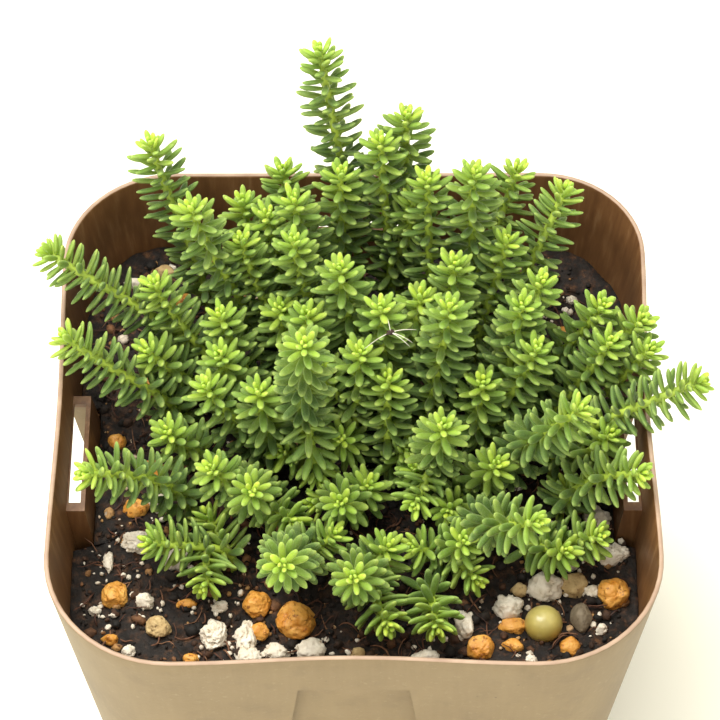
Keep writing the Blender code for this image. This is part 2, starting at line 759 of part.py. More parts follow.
def make_stems(parts):
    """Every leafy stem, its side shoots drawn out of the sides of its main one."""
    planned = [plan_stem(entry) for entry in STEMS]
    routes = {}
    for stem, shoots in enumerate(planned):
        for order, shoot in enumerate(shoots):
            routes[(stem, order)] = shoot[0]
    leaves = plan_leaves(routes)
    spins = {key: number for number, key in enumerate(routes)}
    for stem, shoots in enumerate(planned):
        bm = bmesh.new()
        forks = [(fork, away) for _, fork, away in shoots[1:]]
        bands = grow_shoot(bm, None, shoots[0], spins[(stem, 0)], leaves[(stem, 0)], forks)
        bm.normal_update()
        for order, band in enumerate(bands, start=1):
            face = facing(band, shoots[order][2])
            key = (stem, order)
            grow_shoot(bm, face, shoots[order], spins[key], leaves[key], [])
        bmesh.ops.triangulate(bm, faces=bm.faces)
        paint(new_object(f"leafy_stem_{stem + 1:02d}", bm, parts), "sedum", 0.6)


def main():
    clear_scene()
    parts = new_collection("potted_sedum")
    cutters = new_collection("cutters")
    make_pot(parts, cutters)
    make_soil(parts, cutters)
    make_stems(parts)


main()
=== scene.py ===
"""The looks of a small sedum in a square plastic pot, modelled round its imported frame.

The frame's leafy stems are replaced by finer ones on the same routes, the pot and the
soil by finer meshes of the same size, and the soil gets its grains, crumbs and fibres.
"""

import itertools
import random
from math import cos, exp, floor, hypot, pi, radians, sin

import bmesh
import bpy
import numpy as np
from mathutils import Matrix, Vector, geometry, noise


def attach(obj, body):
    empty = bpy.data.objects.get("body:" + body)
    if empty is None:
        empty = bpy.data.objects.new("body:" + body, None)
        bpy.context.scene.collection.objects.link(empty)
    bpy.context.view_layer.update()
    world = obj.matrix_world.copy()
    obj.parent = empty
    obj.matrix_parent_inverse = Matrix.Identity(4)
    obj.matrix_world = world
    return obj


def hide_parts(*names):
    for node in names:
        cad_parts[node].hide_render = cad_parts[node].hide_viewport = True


MM = 0.001
UP = Vector((0, 0, 1))

# Camera, at the photograph's angle, and light
AZIMUTH = radians(0.223)
ELEVATION = radians(54.03)
ROLL = radians(-0.252)
DISTANCE = 502.5 * MM  # from the middle of the rim
CAMERA_ACROSS = 0.926 * MM
CAMERA_RAISED = 6.856 * MM
LENS = 168.05
SENSOR = 36
LIGHTS = (  # name, place, width, power, colour
    ("key", (-0.22, 0.12, 0.80), 0.60, 8.6, (1.0, 0.985, 0.94)),
    ("front", (-0.15, -0.9, 0.45), 0.6, 4.0, (1.0, 0.97, 0.90)),
)
SKY = (1.0, 0.98, 0.90)
FLOOR_HALF = 3.0

# Pot, as in the frame but with finer steps
POT_HEIGHT = 80 * MM
RIM_HALF = 45 * MM
RIM_CORNERS = (15.8 * MM, 17.0 * MM, 18.7 * MM, 18.7 * MM)  # back right, back left, front left and right
FOOT_CORNER = 13 * MM
DRAFT = 0.12
WALL = 0.8 * MM
RIM_BOWS = (0.8 * MM, 0.0, 0.5 * MM, 1.0 * MM)  # right, back, left and front sides bow in
BOW_FADE = 10 * MM
FLOOR_BELOW = 1.5 * MM
FLOOR_ABOVE = 2.7 * MM
PAD_HALF = 9 * MM
FOOT_WIDTH = 4 * MM
DRAIN_RADIUS = 3.2 * MM
DRAIN_RING = 20 * MM
DRAINS = 8
LEDGE_DEPTH = 9.5 * MM
LEDGE = POT_HEIGHT - LEDGE_DEPTH
PANEL_INSET = 2.9 * MM
PANEL_HALVES = (9.8 * MM, 8.1 * MM) * 2
PANEL_SHIFTS = (-2.5 * MM, 0, 2.5 * MM, 0)
PANEL_SPREAD = 0.1
SLOT_REACH = 1.0 * MM
SLOT_END = 0.8 * MM
SLOT_LIP = 0.1 * MM
GAP = 0.3 * MM  # between the frame's solids
POT_STEPS = (14, 16)  # round a corner and along a side
WALL_START = 4 * MM
WALL_STEP = 8 * MM
FOOT_EDGE = ((0.0, 0.45 * MM), (0.12 * MM, 0.15 * MM), (0.5 * MM, 0.0))  # heights and insets
RIM_EDGE = ((0.4 * MM, 0.0), (0.12 * MM, 0.08 * MM), (0.0, 0.27 * MM))  # depths and insets
CAVITY_RISE = (0.01 * MM, 2 * MM)  # over the rim, of the shape that hollows the pot
# How far down from the rim its top faces take the painted highlight
RIM_HIGHLIGHT_BAND = 0.25 * MM
EDGE_BEVEL = 0.18 * MM
SHARP = radians(50)
DRAIN_SIDES = 32
PAD_SIDES = 48
SEAM = 0.004 * MM
PROBE = 0.2 * MM  # from a face to where its surroundings are tested
FACES_UP = 0.9
FACES_IN = -0.02
SLACK = 0.1

# Soil
SOIL_TOP = 64.5 * MM
SOIL_SWELL = 1.0 * MM
SOIL_LUMP = 9 * MM
SOIL_GAP = 0.05 * MM
SOIL_RINGS = 62
SOIL_STEPS = (20, 60)
SOIL_STEP = 6 * MM
SOIL_SHOULDER = 3 * MM  # below its top, where the soil's even sides end
PANEL_MARGIN = 1.5 * WALL
CRUMB_WAVES = ((3.4, 0.55), (1.5, 0.40), (0.7, 0.22))  # size and height of the soil's crumbs, in mm
CRUMB_SLICE = 3.7 * MM
CRUMB_CREST = 0.6

# Loose crumbs, bits and fibres: how many, their least and largest sizes in mm, how high they lie
CRUMBS = 4200
SMALL_CRUMBS = (0.2, 0.5)
LARGE_CRUMBS = (0.5, 1.05)
SMALL_SHARE = 0.85
CRUMB_LIE = 0.3
BITS = 260
BIT_SIZES = (0.18, 0.55)
BIT_SPREAD = 1.9
BIT_WAVES = ((1.7, 0.5, False), (3.0, 0.3, True))
NEAR_SHARE = 0.7
BIT_LIE = 0.5
FIBRES = 800
FIBRE_ROOM = 2.5 * MM
FIBRE_STEPS = (0.35, 0.95)
FIBRE_RADII = (0.06, 0.17)
FIBRE_TAPER = (0.5, 1, 1, 1, 0.8, 0.3)
FIBRE_BEND = 0.5
FIBRE_LIFT = 0.5 * MM
FIBRE_WAVE = 0.35 * MM

# Stems and leaves
STEM_RADIUS = 0.62 * MM
STEM_CLEAR = 2.2 * MM
HOLE_DEPTH = 7.3 * MM
PULL = 0.35
UPTURN = 0.5
FORK_SHARES = (0.15, 0.4)
FORK_RISE = 0.8
ROUTE_POINTS = 26
STEM_SIDES = 8
STEM_STEP = 0.8 * MM
TIP_ROOM = 0.15 * MM
TIP_TAPER = (0.35, 2.5 * MM)
SCARS = (0.06, 0.45 * MM)  # share of the radius, and length, of the rings that old leaves left
GOLDEN = radians(137.5)
LEAFY_SHARE = 0.97
LEAFY_MOST = 34 * MM
SPIN_STEP = 1.3
CROWN_LEAVES = 3
CROWN_RISE = 0.25 * MM

# A leaf's measures, by its order below the tip: for the first, what later ones gain, and how
# slowly. Lengths are in millimetres and the angle is in degrees.
LEAF_STEP = (0.055, 0.27, 13)
LEAF_ANGLE = (6, 76, 7)
LEAF_LENGTH = (0.75, 3.85, 8.5)
LEAF_WIDTH = (0.72, 0.60, 8)
LEAF_AGE = (0, 1, 17)
ANGLE_SPREAD = 9
LENGTH_SPREAD = (0.84, 1.10)
WIDTH_SPREAD = (0.88, 1.08)
TURN_SPREAD = 0.12
# A leaf's outline: share of its length, share of its full width. A single point ends it.
LEAF_PROFILE = ((0.0, 0.46), (0.16, 0.73), (0.42, 0.98), (0.70, 0.97), (0.88, 0.72), (0.97, 0.38))
LEAF_SIDES = 8
LEAF_FLATNESS = 0.66
LEAF_CURL = 0.10

# How leaves find room: degrees further out and share of the length, for each try
LEAF_TRIES = ((0, 1.0), (-18, 1.0), (14, 0.92), (-32, 0.95), (-12, 0.72), (-40, 0.7))
LEAST_ANGLE = 6
OVERLAP = 0.24 * MM
ALWAYS_KEPT = 24  # leaves of each rosette that stay even where it is crowded
TESTED = (0.45, 0.72, 0.95)  # shares of a leaf's length
TAKEN = (0.3, 0.6, 0.9)
BALL_SHARE = 0.9
WALL_TESTED = (0.5, 1.0)
SOIL_ROOM = 0.5
WALL_ROOM = 0.6

# Where each stem leaves the soil (x, y), then the tips of its shoots (x, y, z), in millimetres.
# A tip may add the compass heading and the rise of its last stretch, in degrees.
STEMS = (
    ((-23, 28), (-31, 39, 94)),
    ((-23, 15), (-46, 20, 92, 155, 28)),
    ((-26, 5), (-43, 7, 88, 155, 38)),
    ((-14, 17), (-24, 21, 101)),
    ((-13, 25), (-17, 31, 90), (-13, 27, 92)),
    ((-8, 30), (-11, 38, 89)),
    ((1, 30), (-5, 43, 111, 110, 66)),
    ((-4, 21), (-9, 25, 98), (-2, 30, 98)),
    ((6, 25), (4, 33, 102), (8, 38, 102), (9, 29, 93)),
    ((12, 19), (11, 28, 99), (18, 26, 103)),
    ((18, 28), (25, 38, 89)),
    ((23, 21), (32, 31, 93, 60, 45)),
    ((-10, 14), (-17, 22, 92), (-11, 13, 87)),
    ((-4, 11), (-9, 18, 97), (-7, 8, 92)),
    ((1, 10), (-2, 12, 98)),
    ((-19, 10), (-30, 16, 89), (-31, 8, 83)),
    ((-14, 7), (-20, 11, 88), (-20, 5, 86)),
    ((-14, 0), (-22, 0, 85), (-14, -3, 88)),
    ((-22, -2), (-28, -4, 79)),
    ((-25, -10), (-39, -15, 84, 200, 22)),
    ((-14, -9), (-21, -12, 81), (-9, -17, 74, 302, 20), (-15, -16, 81)),
    ((-18, -19), (-30, -21, 75, 190, 32), (-22, -14, 72, 125, 30), (-22, -26, 71, 240, 15)),
    ((-8, -3), (-7, -7, 105, 270, 75), (-11, -5, 75), (-5, -9, 74, 298, 20)),
    ((-8, -21), (-10, -34, 89, 270, 55), (-3, -19.5, 75)),
    ((0, -9), (-2, -16, 78), (2, -11, 75), (-6, -12, 72, 203, 25)),
    ((2, -22), (0, -31, 81), (5, -22, 75.5), (5, -34, 73)),
    ((0, 1), (1, 2, 91), (-2, -4, 77), (-5, 4, 84)),
    ((5, 7), (4, 7, 95), (10, 12, 91)),
    ((13, 11), (15, 16, 94)),
    ((11, 2), (14, 5, 98)),
    ((18, 15), (23, 22, 92)),
    ((20, 9), (28, 14, 92), (25, 9, 93)),
    ((27, 10), (37, 12, 89), (43, 10, 88)),
    ((29, 3), (38, 6, 88), (44, 6, 86)),
    ((20, 1), (27, 4, 89), (19, 0, 86)),
    ((5, -3), (5, 0, 87), (8, -4, 74)),
    ((11, -7), (13, -10, 89), (9, -8, 75), (9, -15, 76)),
    ((18, -7), (21, -10, 79), (14, -15, 74, 260, 40)),
    ((23, -4), (33, -9, 92, 10, 50)),
    ((30, -3), (51, -2, 89, 8, 28), (38, -6, 81)),
    ((31, -11), (42, -15, 84, 340, 24), (32, -8, 71)),
    ((18, -15), (26, -26, 88, 345, 40)),
    ((13, -19), (16, -22, 77), (9, -20, 72, 194, 35), (18, -25, 71, 308, 12)),
    ((26, -17), (31, -22, 74), (36, -20, 75)),
    ((11, -25), (12, -34, 72, 272, 12)),
)

# Grains that the frame has: place (x, y) and half sizes (x, y, z) in millimetres
FRAME_GRAINS = {
    "clay_grain": (
        (-8.5, -28.6, 3, 3, 2.5), (-14.5, -25.6, 2.2, 2.1, 2), (-35.6, -24.2, 2, 2.2, 1.7),
        (38.6, -24, 2.4, 2.7, 2.2), (18.6, -33.4, 2.2, 1.9, 1.8),
    ),
    "perlite": (
        (-20.6, -30.9, 1.9, 2.5, 1.8), (-16, -31.3, 1.7, 2.6, 1.8), (-32.4, -14.4, 2.4, 1.9, 1.6),
        (38.6, -17.2, 2.4, 1.8, 1.7),
    ),
    "tan_stone": ((-29, -29.8, 1.9, 1.7, 1.5),),
    "grey_stone": ((33.6, -28, 1.6, 2.3, 1.8),),
    "fertiliser_ball": ((28, -29.4, 2.8, 2.8, 2.8),),
}
GRAIN_SUNK = 0.3

# Shape of each kind: scale, depth and billow of its dents, then how many sides of it are flat
SHAPES = {
    "clay_grain": (((1.2, 0.24, False), (2.6, 0.10, True), (7.0, 0.03, False)), 5),
    "perlite": (((1.6, 0.30, False), (2.8, 0.26, True), (6.0, 0.14, True), (12.0, 0.06, False)), 5),
    "tan_stone": (((1.2, 0.24, False), (2.8, 0.10, False), (6.0, 0.05, False)), 5),
    "grey_stone": (((1.1, 0.10, False), (3.0, 0.04, False), (7.0, 0.02, False)), 3),
    "fertiliser_ball": (((1.0, 0.02, False),), 0),
}
FLAT_REACH = (0.74, 0.94)
FLAT_PRESS = 0.75
SEED_SHIFT = (7.3, 3.1, 1.7)

# Looks of each kind: its material, two tones, the tone and share of its pits (painted shade in its pores),
# and its roughness
GRAIN_LOOKS = {
    "clay_grain": ("clay", (0.58, 0.205, 0.014), (0.8, 0.43, 0.095), (0.16, 0.05, 0.008), 0.34, 0.45),
    "perlite": ("perlite", (0.66, 0.57, 0.43), (0.88, 0.81, 0.68), (0.3, 0.2, 0.11), 0.28, 0.9),
    "tan_stone": ("tan", (0.42, 0.27, 0.11), (0.62, 0.46, 0.22), (0.14, 0.08, 0.03), 0.32, 0.8),
    "grey_stone": ("grey", (0.15, 0.115, 0.07), (0.25, 0.2, 0.13), (0.05, 0.035, 0.02), 0.3, 0.65),
}

# The dry flake that lies on the leaves, and the ends of its pale threads, in millimetres
FLAKE_PLACE = (5.4, 2.6, 95.0)
FLAKE_SIZES = (0.62 * MM, 0.42 * MM, 0.3 * MM)
FLAKE_WAVES = ((1.8, 0.7, False), (5.0, 0.3, False))
DRY_THREADS = ((1.6, 0.2, 94.2), (9.2, 2.8, 95.3), (8.6, 1.0, 94.6), (8.2, 0.5, 94.3), (5.0, 4.4, 95.6))
THREAD_RADII = (0.07, 0.06, 0.05, 0.045, 0.03)
THREAD_BOW = 0.35 * MM

# Smaller grains: place (x, y), width and depth in millimetres
MORE_GRAINS = {
    "clay_grain": (
        (23.5, -29.3, 4.1, 2.6), (23.4, -33, 3.2, 2), (31.8, -33, 3.2, 2.9), (-30.6, -2.3, 3.8, 4.3),
        (-33.1, -8.4, 3.8, 3), (-24, -35, 2.5, 1.8), (-25.1, -25.4, 3, 1.6),
        (-36, -31.6, 2.6, 1.8), (-32, 15.5, 3.4, 4.4), (-14.1, -30, 3.2, 3), (-27.4, 31, 3, 2.4),
        (33, 24, 3.2, 2.6), (36, 18, 2.6, 2.4), (-36.5, 4, 3, 2.6), (3, -36, 2.4, 1.8),
    ),
    "perlite": (
        (-15.5, -34.5, 3.7, 2.9), (-11.5, -33.9, 3.7, 2.9), (-6.3, -33.6, 4.5, 3.4), (22.9, -26.1, 4.2, 4),
        (28.5, -22.8, 5, 4.4), (36.4, -10.6, 4.2, 3.8), (-26.6, -17.6, 4.4, 3.6), (-29.5, -7.6, 4, 3),
        (-31.1, -25.4, 2.7, 2.4), (-38.6, -26.5, 1.6, 1.5), (-33.2, -33.6, 2, 1.8),
        (16.2, -29.4, 2.8, 4.2), (10.5, -34.6, 4.2, 2), (35.4, -23.6, 2.6, 2.2), (36.6, -29.8, 1.8, 1.8),
        (-35, 34.6, 3.4, 2), (34.4, 31, 1.8, 1.6), (-20, -26.2, 2.6, 1.8), (-4, -36, 1.8, 1.4),
        (32, -18.4, 3, 2.4), (26, -35.2, 1.8, 1.2), (-36.8, -18, 1.6, 3.6),
    ),
    "tan_stone": (
        (32.5, -22.4, 4.3, 3.8), (-30.2, 36.5, 3.5, 2.2), (24.6, -23, 2.6, 2), (0.6, -33.8, 2.2, 1.8),
    ),
}
GRAIN_TALL = 0.42  # share of a smaller grain's lesser width
GRAIN_LEAST = 0.3 * MM
GRAIN_TURN = 0.3
GRAIN_LIE = 0.45


# Small helpers

def link(thing):
    bpy.context.scene.collection.objects.link(thing)
    return thing


def mesh_object(name, mesh):
    mesh.polygons.foreach_set("use_smooth", [True] * len(mesh.polygons))
    return link(bpy.data.objects.new(name, mesh))


def list_object(name, verts, faces):
    mesh = bpy.data.meshes.new(name)
    mesh.from_pydata(verts, [], faces)
    return mesh_object(name, mesh)


def bmesh_object(name, bm):
    bmesh.ops.recalc_face_normals(bm, faces=bm.faces)
    mesh = bpy.data.meshes.new(name)
    bm.to_mesh(mesh)
    bm.free()
    return mesh_object(name, mesh)


def settle(piece, slot, materials, nodes=()):
    """Gives a finished piece its materials and its place in the frame."""
    for material in materials:
        piece.data.materials.append(material)
    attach(piece, "root")
    if nodes:
        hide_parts(*nodes)


class Skin:
    """Vertices and faces of many small meshes, with the values that their materials read."""

    def __init__(self):
        self.verts, self.faces, self.slots, self.values = [], [], [], {}

    def add(self, verts, faces, slot=0, **values):
        start = len(self.verts)
        self.verts.extend(tuple(vert) for vert in verts)
        self.faces.extend([start + i for i in face] for face in faces)
        self.slots.extend([slot] * len(faces))
        for name, value in values.items():
            many = value if isinstance(value, list) else [value] * len(verts)
            self.values.setdefault(name, []).extend(many)

    def make(self, name, slot, materials, nodes=()):
        piece = list_object(name, self.verts, self.faces)
        for key, values in self.values.items():
            piece.data.attributes.new(key, 'FLOAT', 'POINT').data.foreach_set("value", values)
        settle(piece, slot, materials, nodes)
        piece.data.polygons.foreach_set("material_index", self.slots)


# Materials

class Nodes:
    """A material's node tree, with short calls for the nodes used here."""

    def __init__(self, name, roughness, bump=0.0):
        self.material = bpy.data.materials.new(name)
        self.material.use_nodes = True
        self.tree = self.material.node_tree
        self.shader = self.tree.nodes["Principled BSDF"]
        self.set(self.shader, {"Roughness": roughness})
        self.bump = bump * MM
        self.coordinates = self.add("TexCoord").outputs["Object"]

    def set(self, node, sockets):
        """Wires each named socket to another, or sets it to a number or a tone."""
        for name, value in sockets.items():
            socket = node.inputs[name]
            if isinstance(value, bpy.types.NodeSocket):
                self.tree.links.new(value, socket)
            elif isinstance(value, (int, float)):
                socket.default_value = value
            else:
                socket.default_value = (*value, 1)[:len(socket.default_value)]

    def add(self, kind, sockets=None, **settings):
        node = self.tree.nodes.new("ShaderNode" + kind)
        for name, value in settings.items():
            setattr(node, name, value)
        self.set(node, sockets or {})
        return node

    def noise(self, size, detail=3.0, roughness=0.5, stretch=(1, 1, 1)):
        """Noise whose features are about this size, in millimetres."""
        scale = [axis / (size * MM) for axis in stretch]
        place = self.add("Mapping", {"Vector": self.coordinates, "Scale": scale})
        sockets = {"Vector": place.outputs["Vector"], "Scale": 1.0, "Detail": detail, "Roughness": roughness}
        return self.add("TexNoise", sockets).outputs["Fac"]

    def cells(self, size):
        """Distance to the nearest of many points about this far apart, in millimetres."""
        sockets = {"Vector": self.coordinates, "Scale": 1 / (size * MM)}
        return self.add("TexVoronoi", sockets).outputs["Distance"]

    def attribute(self, name):
        return self.add("Attribute", attribute_name=name).outputs["Fac"]

    def ramp(self, value, stops):
        node = self.add("ValToRGB", {"Fac": value})
        points = node.color_ramp.elements
        while len(points) < len(stops):
            points.new(0.5)
        for point, (place, tone) in zip(points, stops):
            point.position = place
            point.color = (*tone, 1) if isinstance(tone, tuple) else (tone, tone, tone, 1)
        return node.outputs["Color"]

    def blend(self, value, low, high, start=0.3, stop=0.7):
        """From one tone to another, over the middle of the value's range."""
        return self.ramp(value, ((start, low), (stop, high)))

    def fade(self, value, off, on):
        """From none where the value is off to all where it is on."""
        return self.ramp(value, sorted(((off, 0.0), (on, 1.0))))

    def mix(self, share, a, b, blend='MIX'):
        sockets = {"Factor": share, "A": a, "B": b}
        return self.add("Mix", sockets, data_type='RGBA', blend_type=blend).outputs["Result"]

    def tint(self, a, b):
        return self.mix(1.0, a, b, 'MULTIPLY')

    def calculate(self, operation, a, b):
        return self.add("Math", {0: a, 1: b}, operation=operation).outputs["Value"]

    def over(self, body, cover, share, tone):
        """The body with a tone over it, where the cover is and by this share."""
        return self.mix(self.calculate('MULTIPLY', cover, share), body, tone)

    def finish(self, body, height=None, roughness=None):
        self.set(self.shader, {"Base Color": body})
        if roughness is not None:
            self.set(self.shader, {"Roughness": roughness})
        if height is not None:
            bump = self.add("Bump", {"Distance": self.bump, "Height": height})
            self.set(self.shader, {"Normal": bump.outputs["Normal"]})
        return self.material


def leaf_material():
    """Fleshy leaves: yellow-green when young, grey-green and frosted when older, with a painted sheen on
    their sides.
    """
    nodes = Nodes("sedum_leaf", 0.62, 0.05)
    along = nodes.attribute("along")
    drift = nodes.calculate('ADD', nodes.noise(2.4), -0.5)
    age = nodes.calculate('ADD', nodes.attribute("age"), nodes.calculate('MULTIPLY', drift, 0.35))
    body = nodes.ramp(age, (
        (0, (0.44, 0.6, 0.05)),
        (0.25, (0.385, 0.55, 0.055)),
        (0.55, (0.19, 0.3, 0.032)),
        (1, (0.072, 0.132, 0.026)),
    ))
    body = nodes.over(body, nodes.fade(along, 0.45, 0.0), 0.6, (0.34, 0.46, 0.02))
    # Painted sheen: the leaves' sides are painted a paler grey-green, standing in for the frosted bloom's
    # highlight.
    body = nodes.over(body, nodes.fade(nodes.attribute("edge"), 0.55, 1.0), 0.32, (0.36, 0.5, 0.14))
    body = nodes.over(body, nodes.fade(along, 0.78, 1.0), 0.4, (0.44, 0.57, 0.15))
    frost = nodes.fade(nodes.noise(0.16, 2.0), 0.46, 0.7)
    body = nodes.over(body, frost, 0.16, (0.4, 0.51, 0.27))
    tones = ((0, (0.78, 0.84, 0.8)), (0.5, 1.0), (1, (1.2, 1.1, 1.0)))
    body = nodes.tint(body, nodes.ramp(nodes.attribute("tone"), tones))
    nodes.set(nodes.shader, {
        "Subsurface Weight": 0.3,
        "Subsurface Radius": (0.7, 1.0, 0.2),
        "Subsurface Scale": 0.8 * MM,
        "Specular IOR Level": 0.28,
        "Sheen Weight": 0.1,
        "Sheen Roughness": 0.4,
        "Sheen Tint": (0.95, 1.0, 0.85),
    })
    return nodes.finish(body, nodes.noise(0.16, 1.0))


def stem_material():
    nodes = Nodes("sedum_stem", 0.5, 0.08)
    body = nodes.blend(nodes.noise(1.3), (0.4, 0.52, 0.055), (0.29, 0.41, 0.045))
    body = nodes.mix(nodes.fade(nodes.attribute("along"), 0.3, 0.0), body, (0.14, 0.12, 0.05))
    return nodes.finish(body, nodes.noise(0.5))


def outer_plastic():
    """The dusty outside of the pot."""
    nodes = Nodes("pot_outside", 0.55, 0.03)
    body = nodes.blend(nodes.noise(14, 4.0), (0.19, 0.131, 0.062), (0.226, 0.16, 0.078))
    dust = nodes.fade(nodes.noise(1.1, 6.0, 0.7), 0.58, 0.7)
    body = nodes.over(body, dust, 0.4, (0.32, 0.25, 0.145))
    specks = nodes.fade(nodes.cells(3.2), 0.075, 0.035)
    some = nodes.fade(nodes.noise(9, 2.0), 0.55, 0.6)
    body = nodes.over(body, nodes.tint(specks, some), 0.8, (0.1, 0.062, 0.03))
    smudge = nodes.fade(nodes.noise(4.5, 4.0, 0.6), 0.52, 0.68)
    body = nodes.over(body, smudge, 0.22, (0.125, 0.083, 0.042))
    streaks = nodes.fade(nodes.noise(1.0, stretch=(1, 1, 0.05)), 0.4, 0.75)
    body = nodes.over(body, streaks, 0.1, (0.34, 0.25, 0.145))
    return nodes.finish(body, nodes.noise(0.8))


def shaded_inner_plastic():
    """The inside of the pot: the outside's plastic painted dark brown as painted shade, with fine upright
    streaks.
    """
    nodes = Nodes("pot_inside_painted_shade", 0.42, 0.03)
    streaks = nodes.noise(1.2, 4.0, 0.6, (1, 1, 0.035))
    body = nodes.ramp(streaks, (
        (0.3, (0.13, 0.056, 0.02)),
        (0.55, (0.185, 0.085, 0.031)),
        (0.8, (0.28, 0.155, 0.07)),
    ))
    return nodes.finish(nodes.tint(body, nodes.blend(nodes.noise(11), 0.8, 1.15, 0.35)), streaks)


def rim_highlight_plastic():
    # Painted highlight: the rim's top band is painted a paler, pinker tone than the outside plastic.
    nodes = Nodes("pot_rim_painted_highlight", 0.5, 0.02)
    body = nodes.blend(nodes.noise(3), (0.33, 0.215, 0.145), (0.44, 0.305, 0.21))
    return nodes.finish(body, nodes.noise(0.9))


def soil_material():
    """Moist dark potting mix with rusty fibres."""
    nodes = Nodes("potting_mix", 0.75, 0.35)
    body = nodes.ramp(nodes.noise(1.6, 5.0, 0.65), (
        (0.3, (0.0035, 0.0022, 0.0012)),
        (0.5, (0.012, 0.006, 0.0028)),
        (0.61, (0.05, 0.021, 0.008)),
        (0.74, (0.19, 0.083, 0.03)),
    ))
    rough = nodes.blend(nodes.noise(2.2), 0.45, 0.95, 0.35, 0.65)
    return nodes.finish(body, nodes.noise(0.5, 5.0, 0.7), rough)


def crumb_material():
    nodes = Nodes("soil_crumb", 0.8, 0.15)
    tone = nodes.ramp(nodes.attribute("tone"), (
        (0, (0.005, 0.0035, 0.002)),
        (0.4, (0.016, 0.009, 0.005)),
        (0.68, (0.065, 0.026, 0.01)),
        (0.82, (0.19, 0.085, 0.032)),
        (0.9, (0.44, 0.24, 0.08)),
        (1, (0.78, 0.72, 0.6)),
    ))
    return nodes.finish(nodes.tint(tone, nodes.blend(nodes.noise(0.6), 0.6, 1.4)), nodes.noise(0.35))


def fibre_material():
    nodes = Nodes("bark_fibre", 0.7, 0.05)
    tone = nodes.ramp(nodes.attribute("tone"), (
        (0, (0.03, 0.012, 0.007)),
        (0.55, (0.105, 0.036, 0.016)),
        (1, (0.24, 0.115, 0.055)),
    ))
    return nodes.finish(nodes.tint(tone, nodes.blend(nodes.noise(0.8), 0.7, 1.3)), nodes.noise(0.3))


def thread_material():
    nodes = Nodes("dry_thread", 0.7)
    return nodes.finish(nodes.blend(nodes.noise(0.8), (0.62, 0.56, 0.46), (0.84, 0.8, 0.72)))


def grain_material(name, low, high, dark, pit_share, roughness):
    """A mottled grain: two tones of its colour, with dark pits painted in as the shade in its pores."""
    nodes = Nodes(name, roughness, 0.18)
    body = nodes.blend(nodes.noise(1.5, 4.0, 0.6), low, high, 0.32, 0.68)
    # Painted shade: dark pits stand in for the shade inside the grain's pores.
    pits = nodes.fade(nodes.noise(0.75, 3.0, 0.6), pit_share + 0.1, pit_share)
    body = nodes.over(body, pits, 0.75, dark)
    return nodes.finish(body, nodes.noise(0.45, 4.0, 0.6))


def ball_material():
    """A coated fertiliser ball, smooth and a little darker towards its foot, by painted shade."""
    nodes = Nodes("fertiliser_coat", 0.28, 0.02)
    place = nodes.add("SeparateXYZ", {"Vector": nodes.coordinates})
    sockets = {"Value": place.outputs["Z"], "From Min": SOIL_TOP - 1 * MM, "From Max": SOIL_TOP + 4.5 * MM}
    # Painted shade: the ball darkens from its top down to its foot on the soil.
    height = nodes.add("MapRange", sockets)
    body = nodes.ramp(height.outputs["Result"], (
        (0, (0.2, 0.13, 0.03)),
        (0.55, (0.47, 0.36, 0.08)),
        (1, (0.6, 0.52, 0.17)),
    ))
    nodes.set(nodes.shader, {"Coat Weight": 0.3, "Coat Roughness": 0.2})
    return nodes.finish(nodes.tint(body, nodes.blend(nodes.noise(2), 0.88, 1.1)), nodes.noise(0.6))


def floor_material():
    nodes = Nodes("pale_floor", 0.8)
    return nodes.finish(nodes.blend(nodes.noise(180, 2.0), (0.93, 0.915, 0.8), (0.95, 0.935, 0.83)))


# Pot

def side_turn(side, x, y, z):
    """Turns a point of the right side round to another side."""
    turn = radians(90 * side)
    return Vector((x * cos(turn) - y * sin(turn), x * sin(turn) + y * cos(turn), z))


def wall_half(z):
    return RIM_HALF - DRAFT * (POT_HEIGHT - z)


def corner_radius(z, rim_corner=max(RIM_CORNERS)):
    return FOOT_CORNER + (rim_corner - FOOT_CORNER) * z / POT_HEIGHT


def panel_half(side, z):
    return PANEL_HALVES[side] + PANEL_SPREAD * (LEDGE - z)


def pot_ring(z, inset, steps=POT_STEPS, keep_off_panels=False):
    """The pot's outline at one height, drawn in by inset: a rounded square with bowed sides."""
    half = wall_half(z) - inset
    corners = [corner_radius(z, rim_corner) - inset for rim_corner in RIM_CORNERS]
    fade = exp(min(0.0, z - POT_HEIGHT) / BOW_FADE)
    corner_steps, side_steps = steps
    ring = []
    for side, bow in enumerate(RIM_BOWS):
        start = corners[side - 1] - half
        end = half - corners[side]
        panel = panel_half(side, z - SOIL_STEP) + PANEL_MARGIN + (end - start) / side_steps
        for step in range(1, side_steps):
            along = step / side_steps
            y = start + (end - start) * along
            x = half - bow * fade * sin(pi * along) ** 2
            if keep_off_panels and abs(y - PANEL_SHIFTS[side]) < panel:
                x = min(x, wall_half(z) - PANEL_INSET - WALL - inset / 4)
            ring.append(side_turn(side, x, y, z))
        for step in range(corner_steps + 1):
            angle = radians(90) * step / corner_steps
            x = end + corners[side] * cos(angle)
            y = end + corners[side] * sin(angle)
            ring.append(side_turn(side, x, y, z))
    return ring


def loft(rings):
    """A closed skin through rings of equal length."""
    bm = bmesh.new()
    loops = [[bm.verts.new(point) for point in ring] for ring in rings]
    count = len(loops[0])
    for low, high in zip(loops, loops[1:]):
        for i in range(count):
            j = (i + 1) % count
            bm.faces.new((low[i], low[j], high[j], high[i]))
    bm.faces.new(reversed(loops[0]))
    bm.faces.new(loops[-1])
    return bm


def block(name, rings):
    return bmesh_object(name, loft(rings))


def block_ring(side, inner, outer, half, z):
    """A rectangle over one side's panel, at one height."""
    corners = ((inner, -half), (outer, -half), (outer, half), (inner, half))
    return [side_turn(side, x, y + PANEL_SHIFTS[side], z) for x, y in corners]


def panel_block(name, side, inset, margin, low, high):
    """A block over one side's recess, from inset inside the wall outward."""
    rings = []
    for z in (low, high):
        half = panel_half(side, z) + margin
        rings.append(block_ring(side, wall_half(z) - inset, wall_half(z) + LEDGE_DEPTH, half, z))
    return block(f"{name}_{side}", rings)


